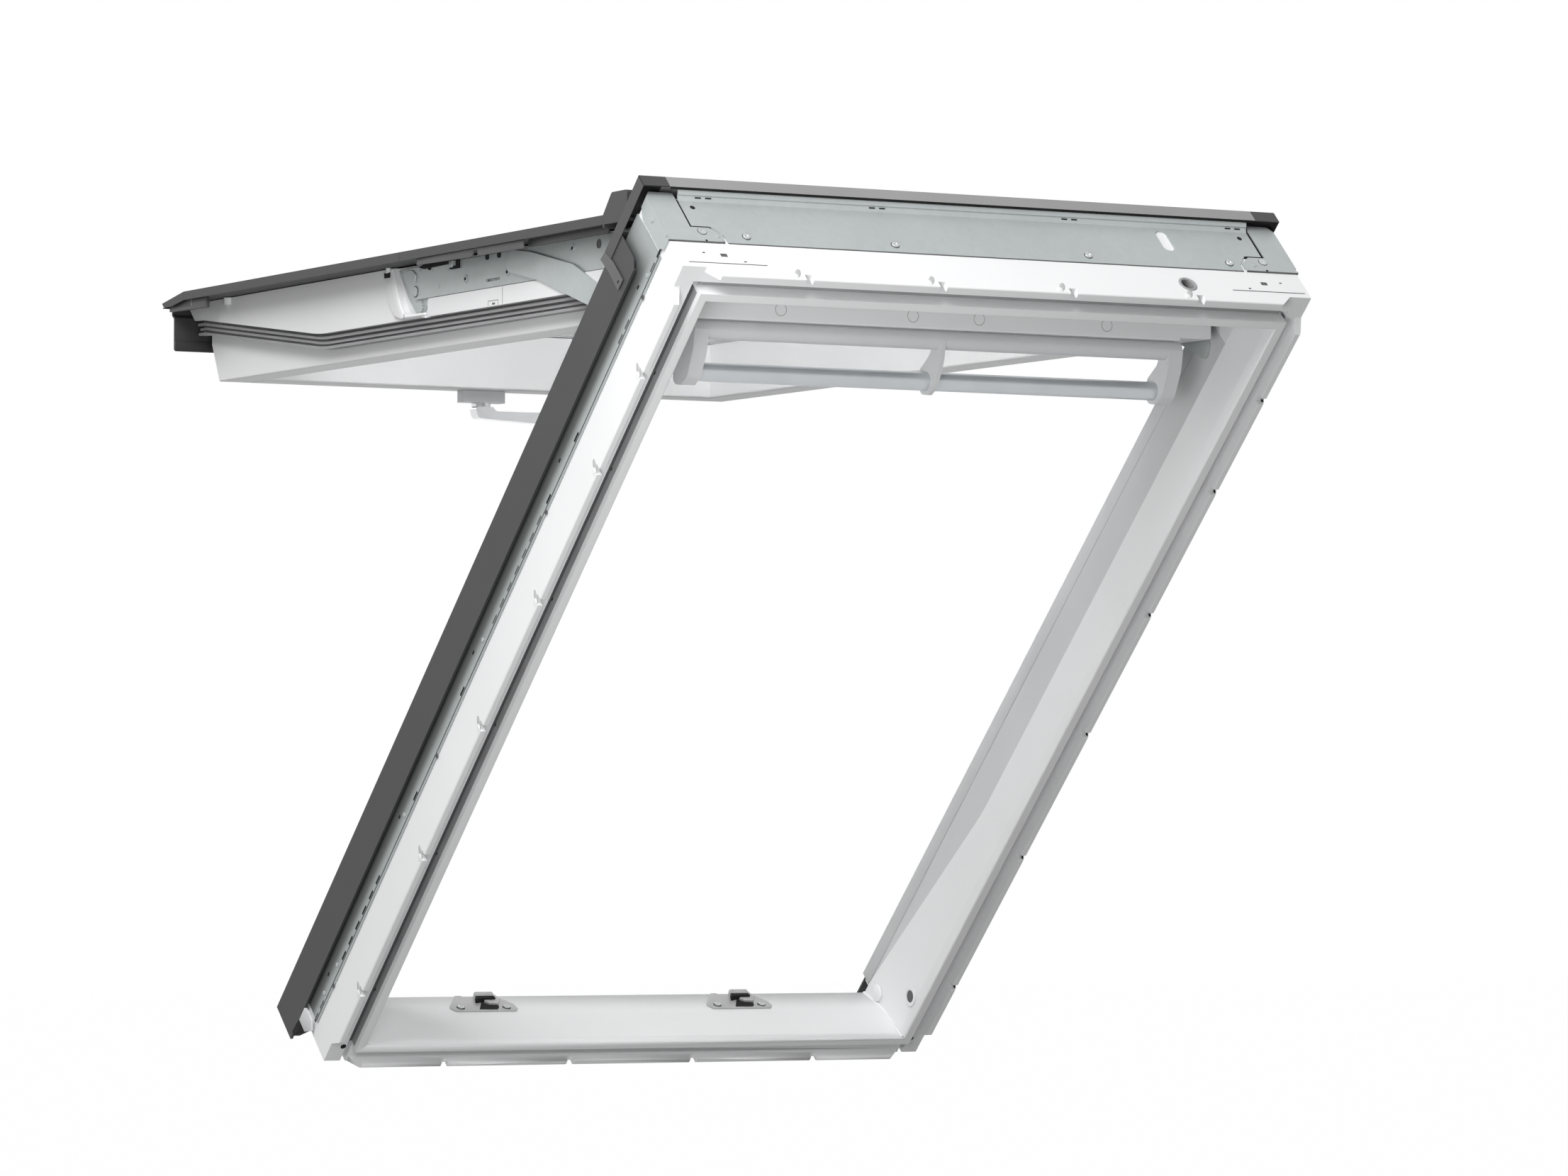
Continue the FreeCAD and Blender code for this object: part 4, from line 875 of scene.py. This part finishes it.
# Screw dimples of the lips: a grey patch of painted shade for the pocket, a low boss below it and a half-moon
# of painted shade on the inner lip;
# "pocket" and "boss" give down, out, half length, half width and how proud they stand
dimples = {
    "jamb": [139, 273, 460, 646, 843, 1057], "head": [135, 297, 459, 621], "low": -10.6, "root": 0.3,
    "pocket": (0.0, -3.0, 7.6, 3.3, 0.12), "boss": (4.6, -7.4, 4.4, 3.3, 0.5), "turn": 62, "points": 20,
    "moon": [(4.5, 6.5), (12.5, 6.8), (12, 3.5), (9.5, 1.0), (6.5, 1.5)],
    "moonDepth": (25.1, 25.4), "edgeShare": 0.45,
}
for name, look in (("pocket", "dimplePaintedShade"), ("boss", "whitePlastic")):
    down, out, long, wide, proud = dimples[name]
    turn = Matrix.Rotation(math.radians(-dimples["turn"]), 2)
    outline = []
    for step in range(dimples["points"]):
        angle = 2 * math.pi * step / dimples["points"]
        a, b = turn @ Vector((long * math.cos(angle), wide * math.sin(angle))) + Vector((down, out))
        outline.append((a, max(b, dimples["low"])))
    depth = (-proud, dimples["root"], proud * dimples["edgeShare"])
    pieces = [slab([(at + a, b) for a, b in outline], "u", *depth) for at in dimples["jamb"]]
    fitPair(joined(pieces), "lip_" + name, look, onRoof)
    pieces = [slab([(at - a, b) for a, b in outline], "v", *depth) for at in dimples["head"]]
    fit(joined(pieces), "head_lip_" + name, look, onRoof)
moons = [[(at + a, b) for a, b in dimples["moon"]] for at in dimples["jamb"]]
moons = joined([slab(outline, "u", *dimples["moonDepth"], corner=0.8) for outline in moons])
fitPair(moons, "lip_moon", "paintedShadowAndBlack", onRoof)

# A screw hole at each lower corner of the room side, drawn as a dark disc of painted shade
corners = {"places": [(16.4, 1155, 0.2), (763.6, 1155, 0.2)], "size": (3.4, 0.4)}
holes = standAt(turnedHead(*corners["size"], rim=0.2, corners=24), corners["places"], "room")
fit(holes, "corner_holes", "paintedShadowAndBlack", onRoof)
print("stage: jambs and grooves")

# Camera at the photograph's angle
camera = {
    "place": (-3.7293, -6.8505, 0.1716), "heading": 29.996, "pitch": 2.533, "roll": 0.052,
    "focal": 9454.68, "frameWide": 2212.0, "sensor": 36.0, "farthest": 100,
}
camData = bpy.data.cameras.new("camera")
camData.sensor_width = camera["sensor"]
camData.lens = camera["sensor"] * camera["focal"] / camera["frameWide"]
camData.clip_end = camera["farthest"]
camObject = bpy.data.objects.new("camera", camData)
bpy.context.scene.collection.objects.link(camObject)
camObject.location = camera["place"]
camObject.rotation_euler = (
    math.radians(90 + camera["pitch"]), math.radians(camera["roll"]), math.radians(-camera["heading"]),
)
bpy.context.scene.camera = camObject


def whiteRays(tree):
    # 1 for camera, glossy and transmitted rays, which see the background as plain white
    rays = tree.nodes.new("ShaderNodeLightPath")
    total = rays.outputs["Is Camera Ray"]
    for name in ("Is Transmission Ray", "Is Glossy Ray"):
        total = mathNode(tree, "MAXIMUM", total, rays.outputs[name])
    return total


# Soft even light from all round, a white background and a pale floor that keeps the shadow
studio = {
    "soft": 0.265, "white": (1, 1, 1, 1), "floorWhite": 0.995, "floorDrop": 0.42, "floorWide": 60,
    "floorTone": (0.25, 0.25, 0.25, 1), "floorRough": 0.9,
}
world = bpy.data.worlds.new("studio")
bpy.context.scene.world = world
world.use_nodes = True
tree = world.node_tree
soft = tree.nodes["Background"]
soft.inputs["Color"].default_value = studio["white"]
soft.inputs["Strength"].default_value = studio["soft"]
white = tree.nodes.new("ShaderNodeBackground")
white.inputs["Color"].default_value = studio["white"]
white.inputs["Strength"].default_value = 1.0
mix = tree.nodes.new("ShaderNodeMixShader")
tree.links.new(whiteRays(tree), mix.inputs["Fac"])
tree.links.new(soft.outputs["Background"], mix.inputs[1])
tree.links.new(white.outputs["Background"], mix.inputs[2])
tree.links.new(mix.outputs["Shader"], tree.nodes["World Output"].inputs["Surface"])

lamps = {
    "key": {"place": (-3.2, -3.2, 4.2), "aim": (0, -0.4, 0.5), "size": 3.0, "power": 296},
    "near": {"place": (-1.2, -2.0, 0.35), "aim": (0, -0.6, 0.6), "size": 0.7, "power": 16},
    "back": {"place": (-1.0, 3.0, 2.5), "aim": (0, 0, 0.6), "size": 2.0, "power": 40},
}
for name, values in lamps.items():
    lampData = bpy.data.lights.new(name, "AREA")
    lampData.energy = values["power"]
    lampData.size = values["size"]
    lamp = bpy.data.objects.new(name, lampData)
    bpy.context.scene.collection.objects.link(lamp)
    lamp.location = values["place"]
    gaze = Vector(values["aim"]) - Vector(values["place"])
    lamp.rotation_euler = gaze.to_track_quat("-Z", "Y").to_euler()

dropSelection()
floorLevel = cadBox[0][2] - studio["floorDrop"]
bpy.ops.mesh.primitive_plane_add(size=studio["floorWide"], location=(0, 0, floorLevel))
floor = bpy.context.active_object
floor.name = "floor"
paper = bpy.data.materials.new("floorPaper")
paper.use_nodes = True
tree = paper.node_tree
shader = tree.nodes["Principled BSDF"]
shader.inputs["Base Color"].default_value = studio["floorTone"]
shader.inputs["Roughness"].default_value = studio["floorRough"]
glow = tree.nodes.new("ShaderNodeEmission")
glow.inputs["Strength"].default_value = 1.0
share = tree.nodes.new("ShaderNodeMath")
share.operation = "MULTIPLY"
share.inputs[1].default_value = studio["floorWhite"]
tree.links.new(whiteRays(tree), share.inputs[0])
mix = tree.nodes.new("ShaderNodeMixShader")
tree.links.new(share.outputs[0], mix.inputs["Fac"])
tree.links.new(shader.outputs["BSDF"], mix.inputs[1])
tree.links.new(glow.outputs["Emission"], mix.inputs[2])
tree.links.new(mix.outputs["Shader"], tree.nodes["Material Output"].inputs["Surface"])
floor.data.materials.append(paper)
print("stage: camera, lamps and floor")

bpy.context.scene.view_settings.view_transform = "Standard"
